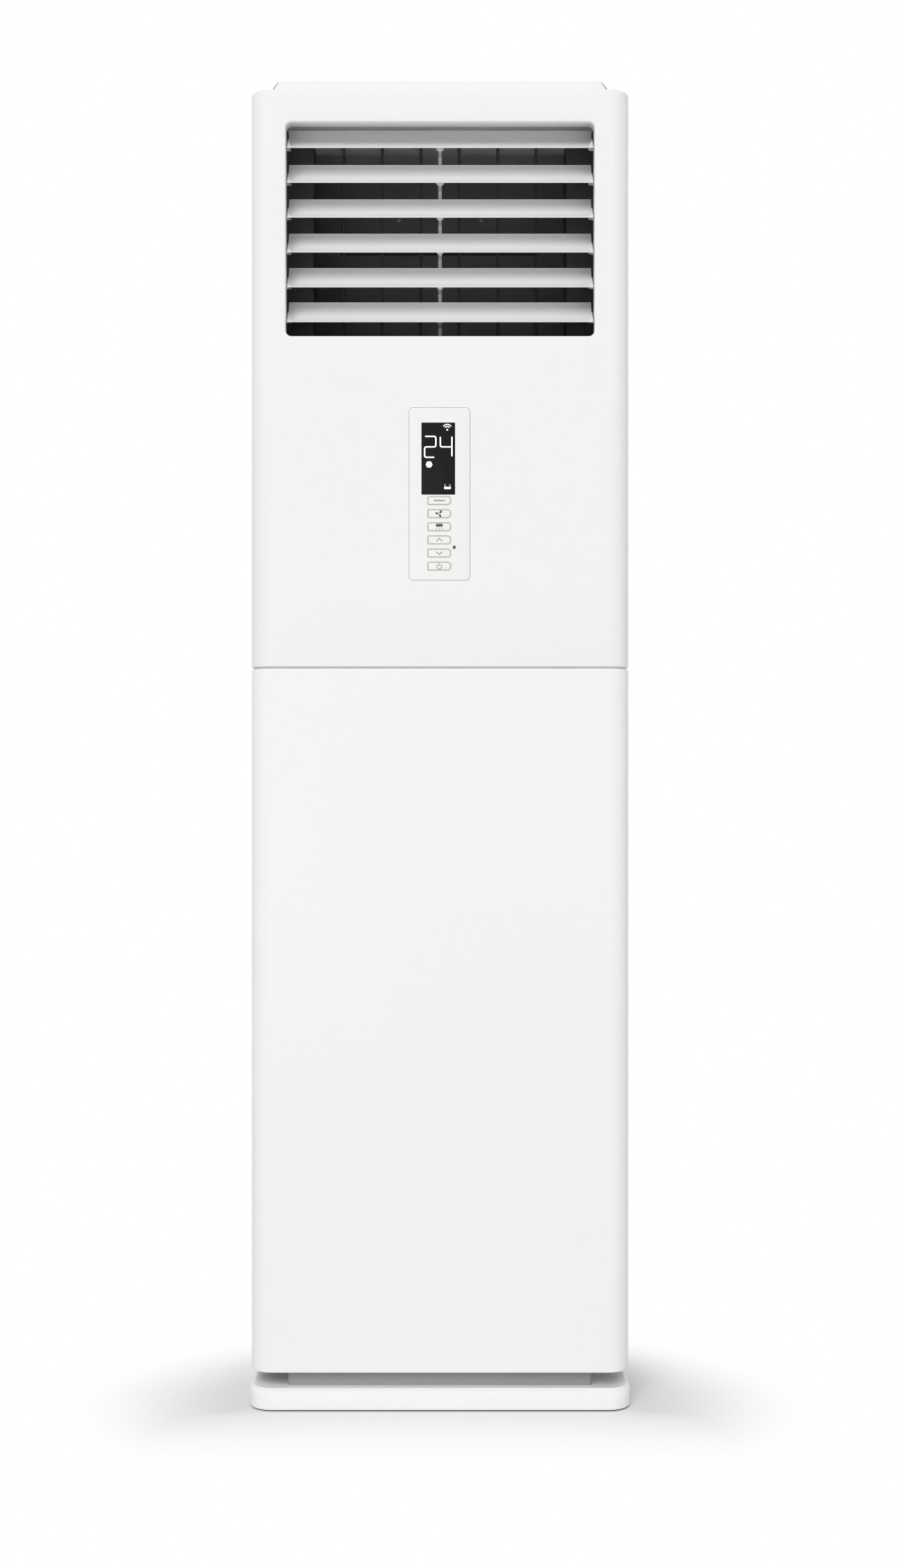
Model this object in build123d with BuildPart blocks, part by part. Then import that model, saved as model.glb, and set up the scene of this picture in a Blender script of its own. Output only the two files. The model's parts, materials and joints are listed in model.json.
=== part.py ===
from build123d import *

import os
from math import asin, cos, degrees, radians, sin

# Floor standing air conditioner, indoor cabinet unit.
# X runs across the front, Y from the front (-Y) to the back, Z up from the floor.
# Millimetres. The origin is the middle of the footprint on the floor.

# ---------------------------------------------------------------------------
# Driving dimensions
# ---------------------------------------------------------------------------

# Cabinet
cabinet_width = 500.0
cabinet_depth = 300.0
shell_bottom = 50.2
seam_drop = 436.3
seam_gap = 2.0
shell_top = 1738.0
corner_radius = 28.0
edge_round = 2.2
flank_depth = 62.0
panel_wall = 2.5
sheet = 1.2
rear_bend = 3.0
rear_flange = 19.0
rib_depth = 8.0
rib_thickness = 2.0
rib_margin = 40.0
seam_lip = 24.0
tongue_depth = 16.0
joggle_run = 2.5
back_relief = 4.0
back_relief_margin = 38.0

# Clearances
fit_gap = 0.3
running_gap = 0.05

# Small pins and pipes, small housings, and the large rings are many-sided
rod_sides = 8
can_sides = 16
ring_sides = 24
right_angle = 90.0

# Plinth and base pan
plinth_height = 30.0
plinth_overhang = 2.0
plinth_chamfer = 5.0
plinth_corner = 30.0
plinth_rear_corner = 6.0
plinth_wall = 3.0
plinth_rib_rise = 4.0
neck_side = 49.0
neck_inset = 14.0
neck_corner = 3.0
pan_gauge = 1.5
pan_rim = 12.0
pan_margin = 25.0
anchor_spacing = 300.0
anchor_hole = 4.5
anchor_boss = 20.0

# Top cover
cover_plate = 6.0
cover_lip_depth = 30.0
cover_skirt = 12.0
cap_rise = 22.0
cap_setback = 16.5
cap_draft = 34.64
cap_corner = 22.0
cap_wall = 2.5
cap_round = 1.5

# Air outlet
outlet_side = 47.0
outlet_drop = 43.2
outlet_height = 281.3
outlet_corner = 7.5
outlet_round = 4.0
reveal_depth = 20.0
reveal_flange = 11.0
duct_wall = 2.5
duct_flange = 8.0
duct_side_gap = 2.5
duct_front_length = 64.0
sleeve_inset = 31.0
sleeve_length = 66.0
sleeve_step = 6.0

# Horizontal louvers
louver_count = 6
louver_pitch = 46.0
louver_drop = 23.8
louver_setback = 37.7
blade_chord = 55.3
blade_slope = 40.6
blade_sagitta = 5.8
blade_thickness = 2.2
blade_lip = 1.75
blade_end_gap = 0.8
blade_swing_gap = 2.5
pivot_drop = 7.5
pivot_pin = 2.5
pivot_boss = 4.5
ear_half = 4.0
ear_flank = 80.0
pin_reach = 0.5
boss_length = 10.0
support_width = 4.0
support_depth = 12.0
support_setback = 32.3
support_foot = 20.0
finger_height = 6.0
centre_pin = 2.0
ear_width = 1.8
crank_throw = 14.0
crank_plate = 2.5
crank_gap = 1.0
crank_pin = 1.5
link_width = 8.0
link_end = 5.6
link_thickness = 2.5
link_gap = 0.5

# Vertical vanes
vane_count = 6
vane_side = 40.75
vane_chord = 45.0
vane_thickness = 2.4
vane_edge = 1.2
vane_front_gap = 6.0
vane_pivot_inset = 8.0
vane_throw = 26.0
vane_pin = 2.0
vane_end_gap = 1.0
vane_link_thickness = 4.0
vane_notch = 12.0
vane_notch_inset = 7.0

# Swing motors
motor_radius = 14.0
motor_length = 19.0
motor_offset = 8.0
motor_ear_spacing = 35.0
motor_ear_width = 7.0
motor_ear_sheet = 0.8
motor_standoff = 9.5
motor_lead_width = 14.6
motor_lead_rise = 4.0
socket_reach = 7.0

# Control panel
bezel_width = 80.0
bezel_height = 226.8
bezel_drop = 94.4
bezel_shift = -0.7
bezel_corner = 2.4
bezel_proud = 0.5
bezel_flange = 5.0
bezel_flange_sheet = 2.0
display_width = 43.8
display_height = 94.3
display_rise = 112.6
display_shift = -2.3
button_width = 30.6
button_height = 11.3
button_pitch = 17.24
button_shift = -1.0
first_button_rise = 104.6
button_left_corner = 1.0
button_right_corner = 2.6
button_gap = 0.25
button_proud = 0.3
button_flange = 1.2
button_flange_sheet = 1.0
button_travel = 0.8
button_names = ["mode", "fan", "swing", "up", "down", "power"]
stem_radius = 2.0
lens_radius = 2.15
lens_sides = 12
lens_shift = 18.7
lens_rise = 43.3
board_gap = 9.5
board_post = 7.0
board_sheet = 1.6
switch_size = 6.0
switch_rise = 4.0

# Deck that carries the coil and closes the blower's chamber
deck_drop = 47.2
deck_rim = 15.0
pipe_slot_width = 30.0
pipe_slot_length = 104.0

# Blower: scroll, wheel and motor
blower_x = -16.0
blower_drop = 370.0
scroll_side = 80.0
scroll_step = 16.0
scroll_inset = 88.0
scroll_spare = 172.0
scroll_wall = 2.5
tongue_round = 14.0
scroll_flange = 8.0
inlet_lap = 7.0
inlet_collar = 9.0
motor_hole_gap = 2.0
plate_cut = 60.0
foot_size = 16.0
foot_spacing_x = 240.0
foot_spacing_z = 230.0
wheel_clearance = 20.0
blade_depth = 25.0
wheel_spare = 28.0
wheel_setback = 12.0
wheel_ring = 2.5
blade_count = 24
blade_gauge = 1.6
blade_sweep = 6.0
blade_camber = 2.2
dish_radius = 64.0
dish_depth = 26.0
hub_radius = 16.0
hub_length = 28.0
shaft_radius = 6.0
shaft_reach = 12.0
nut_across = 19.0
nut_length = 6.0
fan_motor_radius = 54.0
fan_motor_length = 74.0
fan_motor_gap = 4.0
lug_reach = 14.0
lug_width = 18.0
lug_sheet = 3.0
bearing_radius = 14.0
bearing_length = 8.0

# Side intakes: grilles and air filters
intake_bottom = 200.0
intake_drop = 170.0
intake_inset = 84.0
intake_spare = 180.0
grille_flange = 8.0
grille_sheet = 1.5
grille_depth = 10.0
grille_wall = 2.0
slat_count = 12
slat_chord = 13.0
slat_thickness = 1.8
slat_tilt = 35.0
filter_thickness = 6.0
filter_frame = 6.0
filter_mesh = 0.8
filter_bars = 3

# Evaporator
coil_length = 500.0
coil_thickness = 38.0
coil_spare = 88.7
coil_inset = 40.0
coil_rise = 55.0
coil_left_gap = 60.0
coil_right_gap = 75.0
groove_count = 6
fin_groove_width = 2.0
fin_groove_depth = 3.0
tube_radius = 4.76
tube_count = 8
tube_pitch = 56.0
header_radius = 9.5
header_gap = 6.0
header_reach = 14.0
gas_tube_count = 5
liquid_tube_count = 2
stub_length = 2.0
bracket_sheet = 1.5
bracket_lip = 8.0
bracket_tab = 46.0
bracket_inset = 100.0
bracket_foot = 22.0

# Drain pan and hose
tray_left_gap = 45.0
tray_right_gap = 22.0
tray_inset = 14.0
tray_depth = 76.0
tray_height = 44.0
tray_wall = 2.0
tray_rib = 3.0
tray_rib_count = 4
spout_inset = 36.0
spout_setback = 64.0
spout_length = 26.0
spout_bore = 4.5
spout_grip = 16.0
hose_radius = 8.5
hose_bore = 6.5
hose_end = 110.0

# Refrigerant pipes
gas_radius = 7.94
liquid_radius = 4.76
pipe_bend = 16.0
pipe_end = 150.0
gas_nut_across = 29.0
liquid_nut_across = 22.0
cap_nut_length = 20.0
cap_nut_chamfer = 1.5

# Pipe passage and cable gland in the right side
passage_setback = 130.0
passage_level = 130.0
passage_width = 110.0
passage_height = 70.0
gland_inset = 50.0
gland_level = 215.0
gland_across = 19.0
gland_head_across = 27.0
gland_head = 1.5
gland_body = 12.0
gland_bore = 5.0

# Electrical box
box_left_gap = 100.0
box_right_gap = 190.0
box_height = 170.0
box_front_gap = 12.0
box_back_gap = 16.0
box_cover = 2.0
terminal_length = 90.0
terminal_height = 22.0
terminal_depth = 18.0
terminal_drop = 130.0
terminal_ways = 5

# Wall bracket holes in the back
bracket_hole = 2.5
bracket_spacing = 120.0
bracket_drop = 88.0

# ---------------------------------------------------------------------------
# Places that follow from the driving dimensions
# ---------------------------------------------------------------------------

half_width = cabinet_width / 2
front_y = -cabinet_depth / 2
back_y = cabinet_depth / 2
inner_front = front_y + panel_wall
flank_y = front_y + flank_depth
side_inner = half_width - sheet
frame_inset = panel_wall + sheet
back_sheet_y = back_y - sheet
relief_y = back_sheet_y - back_relief
frame_rear = relief_y - sheet
outlet_width = cabinet_width - 2 * outlet_side
outlet_top = shell_top - outlet_drop
outlet_bottom = outlet_top - outlet_height
seam_level = outlet_bottom - seam_drop
deck_level = seam_level - deck_drop
upper_bottom = seam_level + seam_gap / 2
lower_top = seam_level - seam_gap / 2
cover_seat = shell_top - cover_plate
cover_lip_y = front_y + cover_lip_depth
neck_width = cabinet_width - 2 * neck_side
neck_depth = cabinet_depth - 2 * neck_inset
bracket_level = shell_top - bracket_drop

outlet_middle = (outlet_top + outlet_bottom) / 2
duct_front = front_y + reveal_depth
duct_half = outlet_width / 2 + duct_side_gap
pivot_y = front_y + louver_setback
louver_levels = [outlet_top - louver_drop - louver_pitch * i for i in range(louver_count)]
blade_half = outlet_width / 2 - blade_end_gap
blade_radius = (blade_chord**2 / 4 + blade_sagitta**2) / (2 * blade_sagitta)
blade_half_turn = degrees(asin(blade_chord / 2 / blade_radius))
blade_reach = ((blade_chord / 2) ** 2 + (pivot_drop + blade_sagitta) ** 2) ** 0.5 + blade_lip
duct_top = louver_levels[0] + blade_reach + blade_swing_gap
duct_bottom = louver_levels[-1] - blade_reach - blade_swing_gap
sleeve_front = duct_front + duct_front_length
sleeve_half = outlet_width / 2 - sleeve_inset
sleeve_top = duct_top - sleeve_step
sleeve_bottom = duct_bottom + sleeve_step
support_front = pivot_y + support_setback
crank_x = duct_half + duct_wall + crank_gap
link_x = crank_x + crank_plate + link_gap
louver_motor_x = duct_half + duct_wall + motor_standoff

vane_front = sleeve_front + vane_front_gap
vane_pivot_y = vane_front + vane_pivot_inset
vane_pin_y = vane_pivot_y + vane_throw
vane_pitch = 2 * (sleeve_half - vane_side) / (vane_count - 1)
vane_places = [vane_pitch * (i - (vane_count - 1) / 2) for i in range(vane_count)]
vane_middle = (sleeve_top + sleeve_bottom) / 2
vane_motor_level = duct_top + duct_wall + fit_gap

bezel_bottom = outlet_bottom - bezel_drop - bezel_height
bezel_level = bezel_bottom + bezel_height / 2
bezel_face = front_y - bezel_proud
bezel_back = inner_front + bezel_flange_sheet
board_y = bezel_back + board_gap
display_level = bezel_bottom + display_rise + display_height / 2
lens_level = bezel_bottom + lens_rise
first_button_level = bezel_bottom + first_button_rise
button_levels = [first_button_level - button_pitch * i for i in range(len(button_names))]

blower_level = deck_level - blower_drop
scroll_start = half_width - scroll_side
wheel_radius = scroll_start - wheel_clearance
wheel_bore = wheel_radius - blade_depth
inlet_radius = wheel_bore - inlet_lap
scroll_front = front_y + scroll_inset
scroll_back = scroll_front + cabinet_depth - scroll_spare
wheel_width = scroll_back - scroll_front - wheel_spare
wheel_front = scroll_front + wheel_setback
wheel_back = wheel_front + wheel_width
intake_front = front_y + intake_inset
intake_width = cabinet_depth - intake_spare
intake_height = deck_level - intake_drop - intake_bottom
intake_middle_y = intake_front + intake_width / 2
intake_middle = intake_bottom + intake_height / 2
motor_face = wheel_back + fan_motor_gap
hub_back = wheel_back - dish_depth + hub_length / 2
hub_front = hub_back - hub_length
shaft_back = motor_face + shaft_reach
deck_top = deck_level + sheet
tray_left = -half_width + tray_left_gap
tray_right = half_width - tray_right_gap
tray_front = front_y + tray_inset
tray_back = tray_front + tray_depth
spout_x = half_width - spout_inset
spout_y = tray_front + spout_setback
passage_y = front_y + passage_setback
gland_y = back_y - gland_inset
coil_front = front_y + coil_inset
coil_bottom = deck_level + coil_rise
coil_left = -half_width + coil_left_gap
coil_right = half_width - coil_right_gap
coil_lean = degrees(asin((cabinet_depth - coil_spare) / coil_length))
coil_plane = Plane(
    origin=(0, coil_front, coil_bottom),
    x_dir=(1, 0, 0),
    z_dir=(0, sin(radians(coil_lean)), cos(radians(coil_lean))),
)
tube_heights = [coil_length / 2 + tube_pitch * (i - (tube_count - 1) / 2) for i in range(tube_count)]
right_header_x = coil_right + bracket_sheet + header_gap + header_radius
left_header_x = coil_left - bracket_sheet - header_gap - header_radius
stub_end_x = right_header_x + header_radius + stub_length
pipe_drop_x = stub_end_x + pipe_bend + stub_length
gas_start = coil_plane.from_local_coords((0, coil_thickness / 2, tube_heights[gas_tube_count]))
liquid_start = coil_plane.from_local_coords(
    (0, coil_thickness / 2, tube_heights[liquid_tube_count])
)


# ---------------------------------------------------------------------------
# Shared planes, outlines and helpers
# ---------------------------------------------------------------------------


def facing(y):
    """A plane parallel to the front. Its local axes are X and Z, its normal is -Y."""
    return Plane.XZ.offset(-y)


def beside(x, y=0.0, z=0.0):
    """A plane parallel to the sides. Its local axes are Y and Z, its normal is +X."""
    return Plane(origin=(x, y, z), x_dir=(0, 1, 0), z_dir=(1, 0, 0))


def front_outline(inset, rear):
    """Plan of the cabinet front with its two rounded corners, up to a rear line."""
    front = front_y + inset
    with BuildSketch() as outline:
        with Locations((0, (front + rear) / 2)):
            Rectangle(cabinet_width - 2 * inset, rear - front)
        fillet(outline.vertices().group_by(Axis.Y)[0], corner_radius - inset)
    return outline.sketch


def cut_corner_plate(width, height, corner):
    """Rectangle whose four corners are cut off."""
    with BuildSketch() as plate:
        blank = Rectangle(width, height)
        chamfer(blank.vertices(), corner)
    return plate.sketch


def folded_sheet(points, gauge_side):
    """Plan section of a folded sheet whose outer face follows the points."""
    with BuildSketch() as section:
        with BuildLine():
            Polyline(*points)
            offset(amount=sheet, side=gauge_side, kind=Kind.INTERSECTION)
        make_face()
    return section.sketch


def write(piece, name):
    piece.part.label = name
    export_step(piece.part, f"parts/{name}.step")


os.makedirs("parts", exist_ok=True)

# ---------------------------------------------------------------------------
# Base
# ---------------------------------------------------------------------------

with BuildPart() as base_plinth:
    with BuildSketch():
        plinth = Rectangle(
            cabinet_width + 2 * plinth_overhang, cabinet_depth + 2 * plinth_overhang
        )
        fillet(plinth.vertices().group_by(Axis.Y)[0], plinth_corner)
        chamfer(plinth.vertices().group_by(Axis.Y)[-1], plinth_rear_corner)
    extrude(amount=plinth_height)
    chamfer(base_plinth.faces().sort_by(Axis.Z)[-1].edges(), plinth_chamfer)
    with BuildSketch():
        add(base_plinth.faces().sort_by(Axis.Z)[0])
        offset(amount=-plinth_wall, mode=Mode.REPLACE)
    extrude(amount=plinth_height - plinth_wall, mode=Mode.SUBTRACT)
    with BuildSketch(Plane.XY.offset(plinth_rib_rise)):
        Rectangle(cabinet_width, plinth_wall)
        with GridLocations(cabinet_width / 2, 0, 2, 1):
            Rectangle(plinth_wall, cabinet_depth)
        with GridLocations(anchor_spacing, 0, 2, 1):
            Rectangle(anchor_boss, anchor_boss)
    extrude(amount=plinth_height - plinth_wall - plinth_rib_rise)
    with BuildSketch():
        with GridLocations(anchor_spacing, 0, 2, 1):
            Circle(anchor_hole)
    extrude(amount=plinth_height, mode=Mode.SUBTRACT)

with BuildPart() as base_pan:
    with BuildSketch(Plane.XY.offset(plinth_height)):
        add(cut_corner_plate(neck_width, neck_depth, neck_corner))
    extrude(amount=shell_bottom - plinth_height)
    with BuildSketch(Plane.XY.offset(shell_bottom)):
        add(front_outline(frame_inset, frame_rear))
    extrude(amount=pan_rim)
    with BuildSketch(Plane.XY.offset(shell_bottom + pan_gauge)):
        add(front_outline(frame_inset + sheet, frame_rear - sheet))
    extrude(amount=pan_rim, mode=Mode.SUBTRACT)
    with BuildSketch(Plane.XY.offset(plinth_height + pan_gauge)):
        add(cut_corner_plate(neck_width - 2 * pan_gauge, neck_depth - 2 * pan_gauge, neck_corner))
    extrude(amount=shell_bottom, mode=Mode.SUBTRACT)
    # Opening over the anchor holes
    with BuildSketch(Plane.XY.offset(plinth_height)):
        Rectangle(neck_width - 2 * pan_margin, neck_depth - 2 * pan_margin)
    extrude(amount=pan_gauge, mode=Mode.SUBTRACT)

# ---------------------------------------------------------------------------
# Front panels
# ---------------------------------------------------------------------------


def front_shell(bottom, top):
    """Moulded front shell, open at the back, with its outer corners rounded."""
    with BuildPart() as shell:
        with BuildSketch(Plane.XY.offset(bottom)):
            add(front_outline(0, flank_y))
        extrude(amount=top - bottom)
        for end in (0, -1):
            rim = shell.faces().sort_by(Axis.Z)[end].edges().sort_by(Axis.Y)[:-1]
            chamfer(rim, edge_round)
    return shell.part


with BuildPart() as upper_front_panel:
    add(front_shell(upper_bottom, shell_top))
    with BuildSketch(Plane.XY.offset(upper_bottom)):
        add(front_outline(panel_wall, flank_y + 1))
    extrude(amount=shell_top - panel_wall - upper_bottom, mode=Mode.SUBTRACT)
    with BuildSketch(Plane.XY.offset(cover_seat)):
        with Locations((0, (cover_lip_y + flank_y) / 2)):
            Rectangle(cabinet_width, flank_y - cover_lip_y)
    extrude(amount=cover_plate, mode=Mode.SUBTRACT)
    # Reveal behind the air outlet, with the flange that the duct meets
    with BuildSketch(facing(inner_front)):
        with Locations((0, outlet_middle)):
            Rectangle(outlet_width + 2 * panel_wall, outlet_height + 2 * panel_wall)
    extrude(amount=-(reveal_depth - panel_wall))
    with BuildSketch(facing(duct_front - panel_wall)):
        with Locations((0, outlet_middle)):
            Rectangle(outlet_width + 2 * reveal_flange, outlet_height + 2 * reveal_flange)
    extrude(amount=-panel_wall)
    with BuildSketch(facing(front_y)):
        with Locations((0, outlet_middle)):
            RectangleRounded(outlet_width, outlet_height, outlet_corner)
    extrude(amount=-reveal_depth, mode=Mode.SUBTRACT)
    front_face = upper_front_panel.faces().filter_by(Axis.Y).sort_by(Axis.Y)[0]
    chamfer(front_face.inner_wires()[0].edges(), outlet_round)
    # Window for the control panel
    with BuildSketch(facing(front_y)):
        with Locations((bezel_shift, bezel_level)):
            add(cut_corner_plate(bezel_width + 2 * fit_gap, bezel_height + 2 * fit_gap, bezel_corner))
    extrude(amount=-panel_wall, mode=Mode.SUBTRACT)
    # Stiffening ribs on the inside of the lower half
    with BuildSketch(facing(inner_front)):
        with Locations((0, (upper_bottom + outlet_bottom) / 2)):
            with GridLocations(cabinet_width / 2, 0, 2, 1):
                Rectangle(rib_thickness, outlet_bottom - upper_bottom - 2 * rib_margin)
    extrude(amount=-rib_depth)

with BuildPart() as lower_front_panel:
    add(front_shell(shell_bottom, lower_top))
    with BuildSketch(Plane.XY.offset(shell_bottom)):
        add(front_outline(panel_wall, flank_y + 1))
    extrude(amount=lower_top - shell_bottom, mode=Mode.SUBTRACT)
    # Lip that stands behind the seam, and stiffening ribs
    with BuildSketch(facing(inner_front)):
        with Locations((0, lower_top)):
            Rectangle(cabinet_width - 2 * corner_radius - rib_depth, seam_lip)
    extrude(amount=-sheet)
    rib_bottom = shell_bottom + rib_margin
    rib_top = deck_level - deck_rim - rib_margin
    with BuildSketch(facing(inner_front)):
        with Locations((0, (rib_top + rib_bottom) / 2)):
            with GridLocations(cabinet_width / 4, 0, 4, 1):
                Rectangle(rib_thickness, rib_top - rib_bottom)
    extrude(amount=-rib_depth)

# ---------------------------------------------------------------------------
# Sheet metal sides and back, moulded top cover
# ---------------------------------------------------------------------------


def side_panel():
    """Right side sheet: tongue behind the front panel, flat web, rear flange."""
    tongue_x = half_width - panel_wall
    with BuildPart() as side:
        with BuildSketch(Plane.XY.offset(shell_bottom)):
            path = [
                (tongue_x, flank_y - tongue_depth),
                (tongue_x, flank_y),
                (half_width, flank_y + joggle_run),
                (half_width, back_y),
                (half_width - rear_flange, back_y),
            ]
            add(folded_sheet(path, Side.LEFT))
        extrude(amount=cover_seat - shell_bottom)
        corner = side.edges().filter_by(Axis.Z).group_by(Axis.Y)[-1].sort_by(Axis.X)[-1]
        fillet(corner, rear_bend)
        with BuildSketch(beside(half_width, intake_middle_y, intake_middle)):
            Rectangle(intake_width, intake_height)
        extrude(amount=-sheet, mode=Mode.SUBTRACT)
    return side.part


with BuildPart() as right_side_panel:
    add(side_panel())
    with BuildSketch(beside(half_width)):
        with Locations((passage_y, passage_level)):
            Rectangle(passage_width, passage_height)
        with Locations((gland_y, gland_level)):
            RegularPolygon(gland_across / 2 + running_gap, 6, major_radius=False)
    extrude(amount=-sheet, mode=Mode.SUBTRACT)

with BuildPart() as left_side_panel:
    mirror(side_panel(), about=Plane.YZ)

with BuildPart() as back_panel:
    edge = side_inner - rear_bend
    relief = half_width - back_relief_margin
    with BuildSketch(Plane.XY.offset(shell_bottom)):
        path = [
            (-edge, back_sheet_y),
            (-relief, back_sheet_y),
            (-relief + back_relief, relief_y),
            (relief - back_relief, relief_y),
            (relief, back_sheet_y),
            (edge, back_sheet_y),
        ]
        add(folded_sheet(path, Side.RIGHT))
    extrude(amount=cover_seat - shell_bottom)
    with BuildSketch(facing(relief_y)):
        with Locations((0, bracket_level)):
            with GridLocations(bracket_spacing, 0, 2, 1):
                Circle(bracket_hole)
    extrude(amount=sheet, mode=Mode.SUBTRACT)

with BuildPart() as top_cover:
    cap_width = cabinet_width - 2 * (cap_setback + plinth_overhang)
    cap_depth = cabinet_depth - 2 * cap_setback
    with BuildSketch(Plane.XY.offset(cover_seat)):
        with Locations((0, (cover_lip_y + back_y) / 2)):
            plate = Rectangle(cabinet_width, back_y - cover_lip_y)
        chamfer(plate.vertices().group_by(Axis.Y)[-1], rear_bend)
    extrude(amount=cover_plate)
    upper_edges = top_cover.faces().sort_by(Axis.Z)[-1].edges().sort_by(Axis.Y)[1:]
    chamfer(upper_edges, edge_round)
    with BuildSketch(Plane.XY.offset(shell_top)):
        RectangleRounded(cap_width, cap_depth, cap_corner)
    extrude(amount=cap_rise, taper=cap_draft)
    chamfer(top_cover.faces().sort_by(Axis.Z)[-1].edges(), cap_round)
    # Hollow under the cap
    hollow_width = cap_width - 2 * cap_wall
    hollow_depth = cap_depth - 2 * cap_wall
    with BuildSketch(Plane.XY.offset(shell_top)):
        add(cut_corner_plate(hollow_width, hollow_depth, cap_corner / 2))
    extrude(amount=cap_rise - cap_wall, taper=cap_draft, mode=Mode.SUBTRACT)
    with BuildSketch(Plane.XY.offset(cover_seat)):
        add(cut_corner_plate(hollow_width, hollow_depth, cap_corner / 2))
        with Locations((0, cover_lip_y + cap_wall)):
            Rectangle(
                cabinet_width, cabinet_depth, align=(Align.CENTER, Align.MAX), mode=Mode.SUBTRACT
            )
    extrude(amount=cover_plate, mode=Mode.SUBTRACT)
    # Skirt that drops inside the sheet metal
    skirt_front = flank_y + joggle_run + sheet
    skirt_rear = frame_rear - fit_gap
    skirt_half = side_inner - fit_gap
    with BuildSketch(Plane.XY.offset(cover_seat)):
        with Locations((0, (skirt_front + skirt_rear) / 2)):
            Rectangle(2 * skirt_half, skirt_rear - skirt_front)
            Rectangle(
                2 * (skirt_half - cap_wall), skirt_rear - skirt_front - 2 * cap_wall,
                mode=Mode.SUBTRACT,
            )
    extrude(amount=-cover_skirt)

# ---------------------------------------------------------------------------
# Air outlet: duct, louvers and their support
# ---------------------------------------------------------------------------

duct_height = duct_top - duct_bottom
duct_middle = (duct_top + duct_bottom) / 2
sleeve_height = sleeve_top - sleeve_bottom
sleeve_middle = (sleeve_top + sleeve_bottom) / 2

with BuildPart() as outlet_duct:
    with BuildSketch(facing(duct_front)):
        with Locations((0, duct_middle)):
            Rectangle(2 * (duct_half + duct_wall), duct_height + 2 * duct_wall)
    extrude(amount=-duct_front_length - duct_wall)
    with BuildSketch(facing(duct_front)):
        with Locations((0, duct_middle)):
            Rectangle(
                outlet_width + 2 * reveal_flange, duct_height + 2 * duct_flange
            )
    extrude(amount=-duct_wall)
    with BuildSketch(facing(duct_front)):
        with Locations((0, duct_middle)):
            Rectangle(2 * duct_half, duct_height)
    extrude(amount=-duct_front_length, mode=Mode.SUBTRACT)
    with BuildSketch(facing(sleeve_front)):
        with Locations((0, sleeve_middle)):
            Rectangle(2 * (sleeve_half + duct_wall), sleeve_height + 2 * duct_wall)
    extrude(amount=-sleeve_length)
    with BuildSketch(facing(sleeve_front)):
        with Locations((0, sleeve_middle)):
            Rectangle(2 * sleeve_half, sleeve_height)
    extrude(amount=-sleeve_length, mode=Mode.SUBTRACT)
    # Bearing holes of the louvers and of the vanes
    with BuildSketch(beside(-duct_half - duct_wall)):
        with Locations(*[(pivot_y, z) for z in louver_levels]):
            RegularPolygon(pivot_pin + running_gap, rod_sides, major_radius=False)
    extrude(amount=2 * (duct_half + duct_wall), mode=Mode.SUBTRACT)
    with BuildSketch(Plane.XY.offset(sleeve_bottom - duct_wall)):
        with Locations(*[(x, vane_pivot_y) for x in vane_places]):
            RegularPolygon(vane_pin + running_gap, rod_sides, major_radius=False)
    extrude(amount=sleeve_height + 2 * duct_wall, mode=Mode.SUBTRACT)
    # Standoffs that carry the two swing motors
    with BuildSketch(beside(duct_half + duct_wall, pivot_y - motor_offset, louver_levels[0])):
        with GridLocations(0, motor_ear_spacing, 1, 2):
            Rectangle(motor_ear_width, motor_ear_width)
    extrude(amount=motor_standoff)
    with BuildSketch(Plane.XY.offset(sleeve_top + duct_wall)):
        with Locations((vane_places[-1], vane_pivot_y + motor_offset)):
            with GridLocations(motor_ear_spacing, 0, 2, 1):
                Rectangle(motor_ear_width, motor_ear_width)
    extrude(amount=vane_motor_level - sleeve_top - duct_wall)

with BuildPart() as centre_support:
    with BuildSketch(beside(-support_width / 2)):
        with Locations((support_front + support_depth / 2, duct_middle)):
            Rectangle(support_depth, duct_height)
        for level in louver_levels:
            with Locations(((support_front + pivot_y) / 2, level)):
                Rectangle(support_front - pivot_y, finger_height)
            with Locations((pivot_y, level)):
                RegularPolygon(pivot_boss, rod_sides)
                RegularPolygon(
                    centre_pin + running_gap, rod_sides, major_radius=False, mode=Mode.SUBTRACT
                )
    extrude(amount=support_width)
    with BuildSketch(Plane.XY.offset(duct_bottom)):
        with Locations((0, support_front + support_depth / 2)):
            Rectangle(support_foot, support_depth)
    extrude(amount=duct_wall)
    with BuildSketch(Plane.XY.offset(duct_top)):
        with Locations((0, support_front + support_depth / 2)):
            Rectangle(support_foot, support_depth)
    extrude(amount=-duct_wall)

# The blade's section is an arc, hollow side up and forward, drawn from its pivot.
chord_y, chord_z = cos(radians(blade_slope)), sin(radians(blade_slope))
normal_y, normal_z = chord_z, -chord_y
arc_centre = (
    -normal_y * (pivot_drop + blade_radius),
    -normal_z * (pivot_drop + blade_radius),
)
arc_start = blade_slope - right_angle - blade_half_turn


def blade_section():
    """Section of one louver blade, seen from the right, pivot at the origin."""
    with BuildSketch() as section:
        with BuildLine():
            outer = CenterArc(
                arc_centre, blade_radius + blade_thickness / 2, arc_start, 2 * blade_half_turn
            )
            inner = CenterArc(
                arc_centre, blade_radius - blade_thickness / 2, arc_start, 2 * blade_half_turn
            )
            Line(outer @ 0, inner @ 0)
            Line(outer @ 1, inner @ 1)
        make_face()
        with Locations(((outer @ 0) + (inner @ 0)) / 2):
            RegularPolygon(blade_lip, rod_sides)
    return section.sketch


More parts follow.
